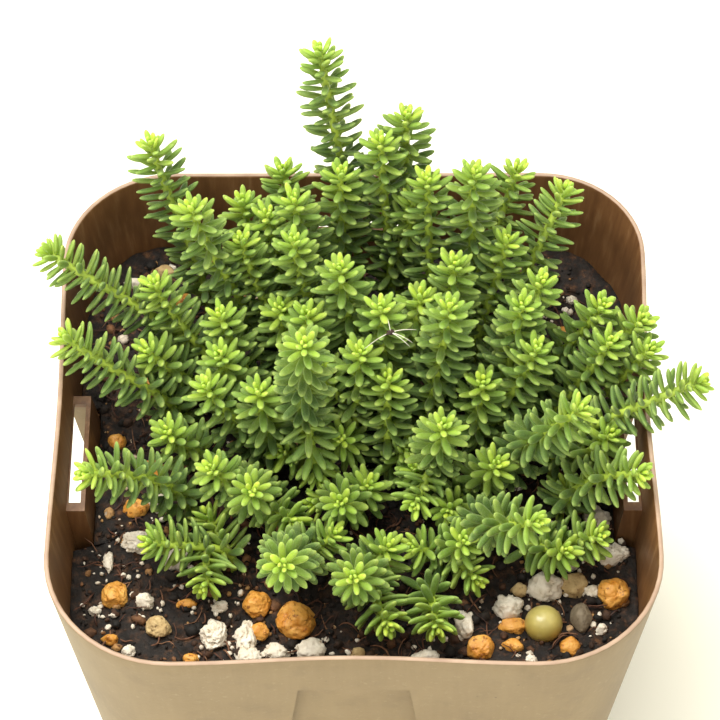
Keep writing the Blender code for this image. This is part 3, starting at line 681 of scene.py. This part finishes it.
def slot_block(side):
    """The block that opens a slot in a ledge, between the wall and the top of the panel."""
    half = PANEL_HALVES[side] - SLOT_END
    bow = RIM_BOWS[side] * exp(-LEDGE_DEPTH / BOW_FADE)
    inner = wall_half(LEDGE) - PANEL_INSET
    outer = wall_half(LEDGE) - WALL - bow - SLOT_LIP
    ends = (LEDGE - SLOT_REACH, LEDGE + WALL + SLOT_REACH)
    return block(f"slot_{side}", [block_ring(side, inner, outer, half, z) for z in ends])


def carve(thing, tools):
    """Cuts tools out of a thing and applies the cuts."""
    for tool in tools:
        modifier = thing.modifiers.new("cut", 'BOOLEAN')
        modifier.operation = 'DIFFERENCE'
        modifier.solver = 'EXACT'
        modifier.object = tool
    bpy.context.view_layer.update()
    shape = thing.evaluated_get(bpy.context.evaluated_depsgraph_get())
    mesh = bpy.data.meshes.new_from_object(shape)
    thing.modifiers.clear()
    thing.data = mesh
    for tool in tools:
        bpy.data.objects.remove(tool, do_unlink=True)


def close_seams(thing):
    """Merges points and drops slivers that the cuts left on top of each other."""
    bm = bmesh.new()
    bm.from_mesh(thing.data)
    bmesh.ops.remove_doubles(bm, verts=bm.verts, dist=SEAM)
    bmesh.ops.dissolve_degenerate(bm, edges=bm.edges, dist=SEAM)
    bm.to_mesh(thing.data)
    bm.free()


def heights(low, high, step=WALL_STEP):
    count = max(1, round((high - low) / step))
    return [low + (high - low) * i / count for i in range(count + 1)]


def outer_profile():
    """Heights and insets of the outside, rounded at the foot and at the rim."""
    middle = [(z, 0.0) for z in heights(WALL_START, POT_HEIGHT - WALL_START)]
    return [*FOOT_EDGE, *middle, *((POT_HEIGHT - depth, inset) for depth, inset in RIM_EDGE)]


def make_cavity():
    """The pot's inside, less the backs of its panels."""
    (start, _), (depth, inset), (_, last) = RIM_EDGE
    profile = [(z, WALL) for z in heights(FLOOR_ABOVE, POT_HEIGHT - start)]
    profile.append((POT_HEIGHT - depth, WALL - inset))
    profile += [(POT_HEIGHT + rise, WALL - last) for rise in CAVITY_RISE]
    cavity = block("cavity", [pot_ring(z, inset) for z, inset in profile])
    backs = [panel_block("boss", side, PANEL_INSET + WALL, WALL, -WALL, LEDGE + WALL) for side in range(4)]
    carve(cavity, backs)
    return cavity


def rod(name, radius, sides, depth):
    bm = bmesh.new()
    bmesh.ops.create_cone(bm, cap_ends=True, segments=sides, radius1=radius, radius2=radius, depth=depth)
    return bmesh_object(name, bm)


def make_hollow():
    """The shallow space under the floor."""
    hollow = block("hollow", [pot_ring(z, FOOT_WIDTH) for z in (-FLOOR_BELOW, FLOOR_BELOW)])
    carve(hollow, [rod("pad", PAD_HALF, PAD_SIDES, 6 * FLOOR_BELOW)])
    return hollow


def in_block(place, inset, margin):
    """Whether a place lies in one side's recess, made deeper and wider by a wall."""
    for side in range(4):
        local = side_turn(-side, *place)
        across = abs(local.y - PANEL_SHIFTS[side])
        if across < panel_half(side, place.z) + margin and wall_half(place.z) - local.x < inset:
            return place.z < LEDGE + margin
    return False


def seen_inside(face):
    """Whether a face of the pot belongs to its inside."""
    if in_block(face.center + face.normal * PROBE, PANEL_INSET, 0):
        return False
    outward = face.normal.dot(Vector((face.center.x, face.center.y, 0)).normalized())
    if face.normal.z > FACES_UP or outward < FACES_IN and face.center.z > FLOOR_ABOVE * (1 - SLACK):
        return True
    wall = in_block(face.center - face.normal * PROBE, PANEL_INSET + WALL, WALL)
    depth = wall_half(face.center.z) - max(abs(face.center.x), abs(face.center.y))
    return wall and depth > WALL * (1 + SLACK)


def soften_edges(thing):
    bevel = thing.modifiers.new("soft_edges", 'BEVEL')
    bevel.width = EDGE_BEVEL
    bevel.segments = 2
    bevel.limit_method = 'ANGLE'
    bevel.angle_limit = SHARP
    bevel.use_clamp_overlap = True
    bevel.harden_normals = True


def make_pot(outside, inside, rim):
    pot = block("nursery_pot", [pot_ring(z, inset) for z, inset in outer_profile()])
    tools = [make_cavity(), make_hollow()]
    for side in range(4):
        tools += [panel_block("panel", side, PANEL_INSET, 0, -MM, LEDGE), slot_block(side)]
    for index in range(DRAINS):
        angle = radians(360 * (index + 0.5) / DRAINS)
        drain = rod(f"drain_{index}", DRAIN_RADIUS, DRAIN_SIDES, 4 * FLOOR_ABOVE)
        drain.location = (DRAIN_RING * cos(angle), DRAIN_RING * sin(angle), 0)
        tools.append(drain)
    carve(pot, tools)
    close_seams(pot)
    settle(pot, "pot", (outside, inside, rim), ("pot",))
    for face in pot.data.polygons:
        face.use_smooth = True
        # The rim's top band takes the paler plastic: a painted highlight.
        if face.center.z > POT_HEIGHT - RIM_HIGHLIGHT_BAND:
            face.material_index = 2
        # Faces inside the pot take the darker plastic: painted shade.
        elif seen_inside(face):
            face.material_index = 1
    soften_edges(pot)


# Soil and grains

def soil_height(x, y):
    """The uneven top of the soil, as in the frame."""
    return SOIL_TOP + SOIL_SWELL * noise.noise(Vector((x, y, 0)) / SOIL_LUMP)


def crumbly(x, y):
    """The soil's top with its crumbs."""
    height = soil_height(x, y)
    for size, rise in CRUMB_WAVES:
        place = Vector((x, y, CRUMB_SLICE)) / (size * MM)
        height += rise * MM * (CRUMB_CREST - 2 * abs(noise.noise(place)))
    return height


def on_crumbs(x, y, lift):
    return Vector((x, y, crumbly(x, y) + lift))


def make_soil(material):
    """The soil: even sides below, and rings that close towards the middle of its crumbly top."""
    inset = WALL + SOIL_GAP
    levels = heights(FLOOR_ABOVE + GAP, SOIL_TOP - SOIL_SHOULDER, SOIL_STEP)
    rings = [pot_ring(z, inset, SOIL_STEPS, True) for z in levels]
    outline = pot_ring(SOIL_TOP, inset, SOIL_STEPS, True)
    for step in range(SOIL_RINGS, 0, -1):
        share = step / SOIL_RINGS
        rings.append([on_crumbs(point.x * share, point.y * share, 0) for point in outline])
    bm = loft(rings)
    bmesh.ops.triangulate(bm, faces=[face for face in bm.faces if len(face.verts) > 4])
    settle(bmesh_object("soil_body", bm), "soil", (material,), ("soil",))


def lump(centre, fineness, sizes, seed, waves, facets=0, turn=0.0):
    """A grain's vertices and faces: a sphere dented, cut flat here and there, stretched and turned."""
    bm = bmesh.new()
    bmesh.ops.create_icosphere(bm, subdivisions=fineness, radius=1)
    draw = random.Random(seed)
    flats = []
    for _ in range(facets):
        way = Vector([draw.gauss(0, 1) for _ in range(3)]).normalized()
        flats.append((way, draw.uniform(*FLAT_REACH)))
    shift = Vector([seed * step for step in SEED_SHIFT])
    turned = Matrix.Rotation(turn, 3, 'Z')
    for vert in bm.verts:
        swell = 1.0
        for scale, depth, billow in waves:
            value = noise.noise(vert.co * scale + shift)
            swell += depth * (0.35 - abs(value) * 1.6 if billow else value)
        place = vert.co * swell
        for way, reach in flats:
            over = place.dot(way) - reach
            if over > 0:
                place = place - way * over * FLAT_PRESS
        vert.co = turned @ Vector([place[i] * sizes[i] for i in range(3)])
    verts = [centre + vert.co for vert in bm.verts]
    faces = [[vert.index for vert in face.verts] for face in bm.faces]
    bm.free()
    return verts, faces


def make_frame_grains(materials):
    """The frame's grains again, at the same places, with finer shapes."""
    seeds = itertools.count(1)
    for kind, grains in FRAME_GRAINS.items():
        for number, grain in enumerate(grains, start=1):
            x, y, *sizes = (measure * MM for measure in grain)
            centre = Vector((x, y, soil_height(x, y) + sizes[2] * (1 - 2 * GRAIN_SUNK)))
            node = f"{kind}_{number}"
            fine = list_object(f"{node}_fine", *lump(centre, 5, sizes, next(seeds), *SHAPES[kind]))
            settle(fine, kind, (materials[kind],), (node,))


def make_more_grains(materials):
    """The smaller grains, one piece for each kind."""
    draw = random.Random(41)
    for kind, grains in MORE_GRAINS.items():
        skin = Skin()
        for seed, (x, y, width, depth) in enumerate(grains, start=30):
            x, y = x * MM, y * MM
            tall = GRAIN_TALL * min(width, depth) * MM + GRAIN_LEAST
            sizes = (width * MM / 2, depth * MM / 2, tall)
            centre = Vector((x, y, soil_height(x, y) + tall * GRAIN_LIE))
            turn = draw.uniform(-GRAIN_TURN, GRAIN_TURN)
            skin.add(*lump(centre, 4, sizes, seed, *SHAPES[kind], turn))
        skin.make(f"small_{kind}s", kind, (materials[kind],))


def make_bits(material):
    """Small bits of perlite, most of them round the larger ones."""
    draw = random.Random(77)
    homes = [grain[:2] for grain in MORE_GRAINS["perlite"] + FRAME_GRAINS["perlite"]]
    skin = Skin()
    made = 0
    while made < BITS:
        size = draw.uniform(*BIT_SIZES) * MM
        if draw.random() < NEAR_SHARE:
            x, y = draw.choice(homes)
            x, y = draw.gauss(x, BIT_SPREAD) * MM, draw.gauss(y, BIT_SPREAD) * MM
        else:
            x, y = soil_place(draw, size)
        if not on_soil(x, y, size):
            continue
        sizes = [size * draw.uniform(0.6, 1.2) for _ in range(3)]
        centre = on_crumbs(x, y, sizes[2] * BIT_LIE)
        skin.add(*lump(centre, 2, sizes, made + 500, BIT_WAVES, 3))
        made += 1
    skin.make("perlite_bits", "perlite", (material,))


def inside_wall(point):
    """How far a point is inside the pot's inner wall; negative within the wall or outside it."""
    half = wall_half(point.z) - WALL - max(RIM_BOWS)
    corner = corner_radius(point.z) - WALL
    over_x = abs(point.x) - (half - corner)
    over_y = abs(point.y) - (half - corner)
    outside = hypot(max(over_x, 0), max(over_y, 0)) + min(max(over_x, over_y), 0)
    return corner - outside


def on_soil(x, y, margin):
    place = Vector((x, y, SOIL_TOP))
    return inside_wall(place) > margin and not in_block(place, PANEL_INSET + WALL + margin, WALL + margin)


def soil_place(draw, margin):
    """A random place on the soil, clear of the wall."""
    while True:
        x, y = (draw.uniform(-RIM_HALF, RIM_HALF) for _ in range(2))
        if on_soil(x, y, margin):
            return x, y


def make_crumbs(material):
    draw = random.Random(7)
    skin = Skin()
    for seed in range(CRUMBS):
        size = draw.uniform(*(SMALL_CRUMBS if draw.random() < SMALL_SHARE else LARGE_CRUMBS))
        x, y = soil_place(draw, size * MM)
        sizes = [size * MM * draw.uniform(0.6, 1.1) for _ in range(3)]
        centre = on_crumbs(x, y, sizes[2] * CRUMB_LIE)
        fineness = 1 if size < LARGE_CRUMBS[0] else 2
        verts, faces = lump(centre, fineness, sizes, seed, BIT_WAVES[:1], turn=draw.uniform(0, 6))
        skin.add(verts, faces, tone=draw.random() ** 1.35)
    skin.make("soil_crumbs", "soil", (material,))


def bands(rows, sides):
    """Faces between rows of points, with this many points in each."""
    faces = []
    for row in range(0, (rows - 1) * sides, sides):
        for s in range(sides):
            t = (s + 1) % sides
            faces.append((row + s, row + t, row + sides + t, row + sides + s))
    return faces


def tube(points, radii, sides):
    """Vertices and faces of a closed tube along points."""
    verts = []
    swing = UP.rotation_difference((points[1] - points[0]).normalized())
    for k, point in enumerate(points):
        ahead = points[min(k + 1, len(points) - 1)] - points[max(k - 1, 0)]
        swing = (swing @ UP).rotation_difference(ahead.normalized()) @ swing
        for s in range(sides):
            angle = 2 * pi * s / sides
            verts.append(point + radii[k] * (swing @ Vector((cos(angle), sin(angle), 0))))
    ends = [range(sides)[::-1], range(len(verts) - sides, len(verts))]
    return verts, bands(len(points), sides) + ends


def make_fibres(material):
    draw = random.Random(19)
    skin = Skin()
    for _ in range(FIBRES):
        x, y = soil_place(draw, FIBRE_ROOM)
        heading = draw.uniform(0, 2 * pi)
        bend = draw.uniform(-FIBRE_BEND, FIBRE_BEND)
        step = draw.uniform(*FIBRE_STEPS) * MM
        points = []
        for k in range(len(FIBRE_TAPER)):
            points.append(on_crumbs(x, y, FIBRE_LIFT + FIBRE_WAVE * sin(k + x / MM)))
            heading += bend * draw.uniform(0.3, 1.2)
            x += step * cos(heading)
            y += step * sin(heading)
        thick = draw.uniform(*FIBRE_RADII) * MM
        verts, faces = tube(points, [thick * share for share in FIBRE_TAPER], 4)
        skin.add(verts, faces, tone=draw.random())
    skin.make("bark_fibres", "soil", (material,))


# Leafy stems

def walk(points):
    reach = [0.0]
    for a, b in zip(points, points[1:]):
        reach.append(reach[-1] + (b - a).length)
    return reach


def point_at(points, reach, distance):
    """The place and direction at a distance along a line of points."""
    i = 1
    while i < len(points) - 1 and distance > reach[i]:
        i += 1
    step = points[i] - points[i - 1]
    share = (distance - reach[i - 1]) / step.length
    return points[i - 1] + step * share, step.normalized()


def shoot_route(start, out, tip, bearing):
    """A smooth line from a start, leaving it along out, to a shoot's tip, as in the frame.

    Its last stretch goes as the bearing says, or between the shoot's own line and upright.
    """
    lean = ((tip - start).normalized() + UPTURN * UP).normalized()
    if bearing:
        heading, rise = map(radians, bearing)
        lean = Vector((cos(rise) * cos(heading), cos(rise) * sin(heading), sin(rise)))
    pull = (tip - start).length
    near, far = start + out * pull * PULL, tip - lean * pull * PULL
    return geometry.interpolate_bezier(start, near, far, tip, ROUTE_POINTS)


def plan_stem(entry):
    """The routes of one stem's shoots, the main one first."""
    (x, y), *tips = entry
    foot = Vector((x, y, 0)) * MM
    foot.z = SOIL_TOP - HOLE_DEPTH + GAP
    clear = Vector((foot.x, foot.y, SOIL_TOP + STEM_CLEAR))
    trunk = [foot] + shoot_route(clear, UP, Vector(tips[0][:3]) * MM, tips[0][3:])
    reach = walk(trunk)
    routes = [trunk]
    for share, tip in zip(FORK_SHARES, tips[1:]):
        end = Vector(tip[:3]) * MM
        start, along = point_at(trunk, reach, reach[1] + share * (reach[-1] - reach[1]))
        away = ((end - start) - along * along.dot(end - start)).normalized()
        out = (away + FORK_RISE * along).normalized()
        side_start = start + away * STEM_RADIUS * cos(pi / 4)
        routes.append([start] + shoot_route(side_start, out, end, tip[3:]))
    return routes


def by_order(measure, order):
    start, gain, pace = measure
    return start + gain * (1 - exp(-order / pace))


def leaf_facts(order, draw):
    """Distance below the tip for the next leaf, its angle, length, width and age, by its order."""
    step = by_order(LEAF_STEP, order) * MM
    angle = radians(by_order(LEAF_ANGLE, order) + draw.uniform(-ANGLE_SPREAD, ANGLE_SPREAD))
    length = by_order(LEAF_LENGTH, order) * MM * draw.uniform(*LENGTH_SPREAD)
    width = by_order(LEAF_WIDTH, order) * MM * draw.uniform(*WIDTH_SPREAD)
    return step, angle, length, width, by_order(LEAF_AGE, order)


class Balls:
    """Small balls that stems and leaves take up, in cells, to keep leaves off other shoots."""

    CELL = 1.7 * MM

    def __init__(self):
        self.cells = {}

    def key(self, point):
        return tuple(floor(c / self.CELL) for c in point)

    def add(self, point, radius, owner):
        self.cells.setdefault(self.key(point), []).append((point, radius, owner))

    def crowd(self, point, radius, owner):
        """The deepest overlap with another shoot's balls."""
        worst = 0.0
        for cell in itertools.product(*((c - 1, c, c + 1) for c in self.key(point))):
            for other, other_radius, other_owner in self.cells.get(cell, ()):
                if other_owner != owner:
                    worst = max(worst, radius + other_radius - (point - other).length)
        return worst


def clears_the_rest(root, direction, length, radius):
    """Whether a leaf keeps off the pot and the soil."""
    for share in WALL_TESTED:
        point = root + direction * length * share
        if point.z < soil_height(point.x, point.y) + radius * SOIL_ROOM:
            return False
        if in_block(point, PANEL_INSET + WALL + radius, WALL + radius):
            return False
        inside = inside_wall(point)
        if point.z < POT_HEIGHT + radius and inside < radius * WALL_ROOM:
            if POT_HEIGHT - point.z > radius * SOIL_ROOM or inside > -WALL - max(RIM_BOWS) - radius:
                return False
    return True


def fit_leaf(balls, shoot, root, axis, side, facts, order):
    """The leaf's direction and length that crowd its neighbours least, or none."""
    _, angle, length, width, _ = facts
    radius = width / 2
    ball = radius * BALL_SHARE
    best = None
    for further, share in LEAF_TRIES:
        turn = max(radians(LEAST_ANGLE), angle + radians(further))
        direction = axis * cos(turn) + side * sin(turn)
        long = length * share
        if not clears_the_rest(root, direction, long, radius):
            continue
        crowd = max(balls.crowd(root + direction * long * t, ball, shoot) for t in TESTED)
        if best is None or crowd < best[0]:
            best = (crowd, direction, long)
        if crowd < OVERLAP:
            break
    if best is None or best[0] > OVERLAP and order > ALWAYS_KEPT:
        return None
    _, direction, long = best
    for t in TAKEN:
        balls.add(root + direction * long * t, ball, shoot)
    return direction, long


def grow_leaves(balls, shoot, route, reach, number, leaves):
    """Adds a shoot's leaves to a list, from its tip down, one at each step."""
    leafy = min(LEAFY_MOST, LEAFY_SHARE * (reach[-1] - (0 if shoot[1] else reach[1])))
    draw = random.Random(number)
    below = 0.0
    for order in itertools.count():
        if below > leafy:
            return
        facts = leaf_facts(order, draw)
        centre, axis = point_at(route, reach, reach[-1] - below)
        angle = number * SPIN_STEP + GOLDEN * order + draw.uniform(-TURN_SPREAD, TURN_SPREAD)
        side = UP.rotation_difference(axis) @ Vector((cos(angle), sin(angle), 0))
        rise = CROWN_RISE if order < CROWN_LEAVES else 0
        root = centre + side * STEM_RADIUS * 0.5 + axis * rise
        fitted = fit_leaf(balls, shoot, root, axis, side, facts, order)
        if fitted:
            leaves.append((root, *fitted, facts[3], facts[4], axis, draw.random()))
        below += facts[0]
        yield True


def plan_leaves(routes):
    """All leaves of all shoots, young ones first, so that each rosette is as full as it can be."""
    balls = Balls()
    leaves = {shoot: [] for shoot in routes}
    growing = []
    for number, (shoot, route) in enumerate(routes.items()):
        reach = walk(route)
        for step in range(int(reach[-1] / MM)):
            balls.add(point_at(route, reach, step * MM)[0], STEM_RADIUS, shoot)
        growing.append(grow_leaves(balls, shoot, route, reach, number, leaves[shoot]))
    while growing:
        growing = [steps for steps in growing if next(steps, False)]
    return leaves


def leaf_template():
    """Unit places of a leaf's vertices (along, across, thick), and its faces."""
    places = []
    for along, width in LEAF_PROFILE:
        for s in range(LEAF_SIDES):
            angle = 2 * pi * s / LEAF_SIDES
            places.append((along, width * cos(angle), width * sin(angle)))
    places.append((1.0, 0.0, 0.0))
    faces = bands(len(LEAF_PROFILE), LEAF_SIDES)
    last = (len(LEAF_PROFILE) - 1) * LEAF_SIDES
    for s in range(LEAF_SIDES):
        faces.append((last + s, last + (s + 1) % LEAF_SIDES, len(places) - 1))
    return np.array(places), faces


def leaf_points(unit, root, direction, long, width, axis):
    """A leaf's vertices: the unit leaf on its root, turned, stretched and curled."""
    across = direction.cross(axis).normalized()
    rise = across.cross(direction).normalized()
    centre = np.outer(unit[:, 0], direction) * long
    centre = centre + np.outer(unit[:, 0] ** 2, rise) * (LEAF_CURL * long)
    skin = np.outer(unit[:, 1], across) * (width / 2)
    skin = skin + np.outer(unit[:, 2], rise) * (width / 2 * LEAF_FLATNESS)
    return (np.array(root) + centre + skin).tolist()


def stem_mesh(route):
    """A stem along its route, thinner at its tip and ringed by old leaf scars."""
    reach = walk(route)
    points, radii = [], []
    steps = max(12, int(reach[-1] / STEM_STEP))
    for k in range(steps + 1):
        distance = (reach[-1] - TIP_ROOM) * k / steps
        points.append(point_at(route, reach, distance)[0])
        taper = 1 - TIP_TAPER[0] * exp(-(reach[-1] - distance) / TIP_TAPER[1])
        radii.append(STEM_RADIUS * taper * (1 + SCARS[0] * sin(distance / SCARS[1])))
    return tube(points, radii, STEM_SIDES)


def make_stems(leaf, stem):
    """Every stem with all of its leaves, one piece for each of the frame's."""
    routes = {}
    for number, entry in enumerate(STEMS):
        for order, route in enumerate(plan_stem(entry)):
            routes[(number, order)] = route
    leaves = plan_leaves(routes)
    unit, unit_faces = leaf_template()
    unit_along = unit[:, 0].tolist()
    # How far out to the leaf's sides each vertex lies, for the leaves' painted sheen.
    edge = [abs(cos(2 * pi * (i % LEAF_SIDES) / LEAF_SIDES)) for i in range(len(unit))]
    skins = [Skin() for _ in STEMS]
    for shoot, route in routes.items():
        skin = skins[shoot[0]]
        verts, faces = stem_mesh(route)
        rows = len(verts) // STEM_SIDES
        along = [row / rows for row in range(rows) for _ in range(STEM_SIDES)]
        skin.add(verts, faces, 1, along=along, edge=0.0, age=0.5, tone=0.5)
        for root, direction, long, width, age, axis, tone in leaves[shoot]:
            verts = leaf_points(unit, root, direction, long, width, axis)
            skin.add(verts, unit_faces, 0, along=unit_along, edge=edge, age=age, tone=tone)
    for number, skin in enumerate(skins, start=1):
        skin.make(f"sedum_stem_{number:02d}", "sedum", (leaf, stem), (f"leafy_stem_{number:02d}",))


def make_dry_bit(brown, pale):
    """A dry brown flake with a few pale threads, caught on the leaves."""
    centre = Vector(FLAKE_PLACE) * MM
    flake = list_object("dry_flake", *lump(centre, 3, FLAKE_SIZES, 5, FLAKE_WAVES, turn=0.5))
    settle(flake, "soil", (brown,))
    skin = Skin()
    bow = Vector((0, 0, THREAD_BOW))
    shares = [step / (len(THREAD_RADII) - 1) for step in range(len(THREAD_RADII))]
    for place in DRY_THREADS:
        end = Vector(place) * MM
        points = [centre.lerp(end, share) + bow * sin(pi * share) for share in shares]
        skin.add(*tube(points, [radius * MM for radius in THREAD_RADII], 5))
    skin.make("dry_threads", "soil", (pale,))


# Stage

def make_stage():
    """A pale floor under an even sky."""
    bm = bmesh.new()
    bmesh.ops.create_grid(bm, x_segments=2, y_segments=2, size=FLOOR_HALF)
    ground = bmesh_object("floor", bm)
    ground.data.materials.append(floor_material())
    world = bpy.data.worlds.new("studio")
    bpy.context.scene.world = world
    world.use_nodes = True
    sky = world.node_tree.nodes["Background"]
    sky.inputs["Color"].default_value = (*SKY, 1)
    sky.inputs["Strength"].default_value = 1.0


def make_lights():
    """Round lamps that face the middle of the rim."""
    for name, place, width, power, colour in LIGHTS:
        light = bpy.data.lights.new(name, 'AREA')
        light.shape = 'DISK'
        light.size = width
        light.energy = power
        light.color = colour
        lamp = link(bpy.data.objects.new(name, light))
        lamp.location = place
        aim = Vector((0, 0, POT_HEIGHT)) - Vector(place)
        lamp.rotation_euler = aim.to_track_quat('-Z', 'Y').to_euler()


def make_camera():
    """The camera at the photograph's angle, aimed near the middle of the rim."""
    flat = cos(ELEVATION)
    across = Vector((cos(AZIMUTH), sin(AZIMUTH), 0))
    back = Vector((flat * across.y, -flat * across.x, sin(ELEVATION)))
    up = back.cross(across)
    middle = Vector((0, 0, POT_HEIGHT))
    place = middle + back * DISTANCE + across * CAMERA_ACROSS + up * CAMERA_RAISED
    turn = Matrix((across, up, back)).transposed() @ Matrix.Rotation(ROLL, 3, 'Z')
    data = bpy.data.cameras.new("camera")
    data.lens = LENS
    data.sensor_width = SENSOR
    data.clip_start = 0.01
    camera = link(bpy.data.objects.new("camera", data))
    camera.matrix_world = Matrix.Translation(place) @ turn.to_4x4()
    bpy.context.scene.camera = camera


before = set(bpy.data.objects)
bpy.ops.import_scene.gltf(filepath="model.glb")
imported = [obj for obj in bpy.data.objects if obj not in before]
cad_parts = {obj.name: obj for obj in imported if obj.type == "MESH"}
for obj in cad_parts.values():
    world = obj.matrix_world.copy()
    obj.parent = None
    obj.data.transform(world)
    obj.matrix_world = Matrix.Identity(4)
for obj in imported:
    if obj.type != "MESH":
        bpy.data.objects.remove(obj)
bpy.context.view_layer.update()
make_camera()
make_stage()
make_lights()
bpy.context.scene.view_settings.view_transform = 'Standard'

grain_materials = {kind: grain_material(*looks) for kind, looks in GRAIN_LOOKS.items()}
grain_materials["fertiliser_ball"] = ball_material()
fibre = fibre_material()
make_pot(outer_plastic(), shaded_inner_plastic(), rim_highlight_plastic())
make_soil(soil_material())
make_frame_grains(grain_materials)
make_more_grains(grain_materials)
make_bits(grain_materials["perlite"])
make_crumbs(crumb_material())
make_fibres(fibre)
make_stems(leaf_material(), stem_material())
make_dry_bit(fibre, thread_material())
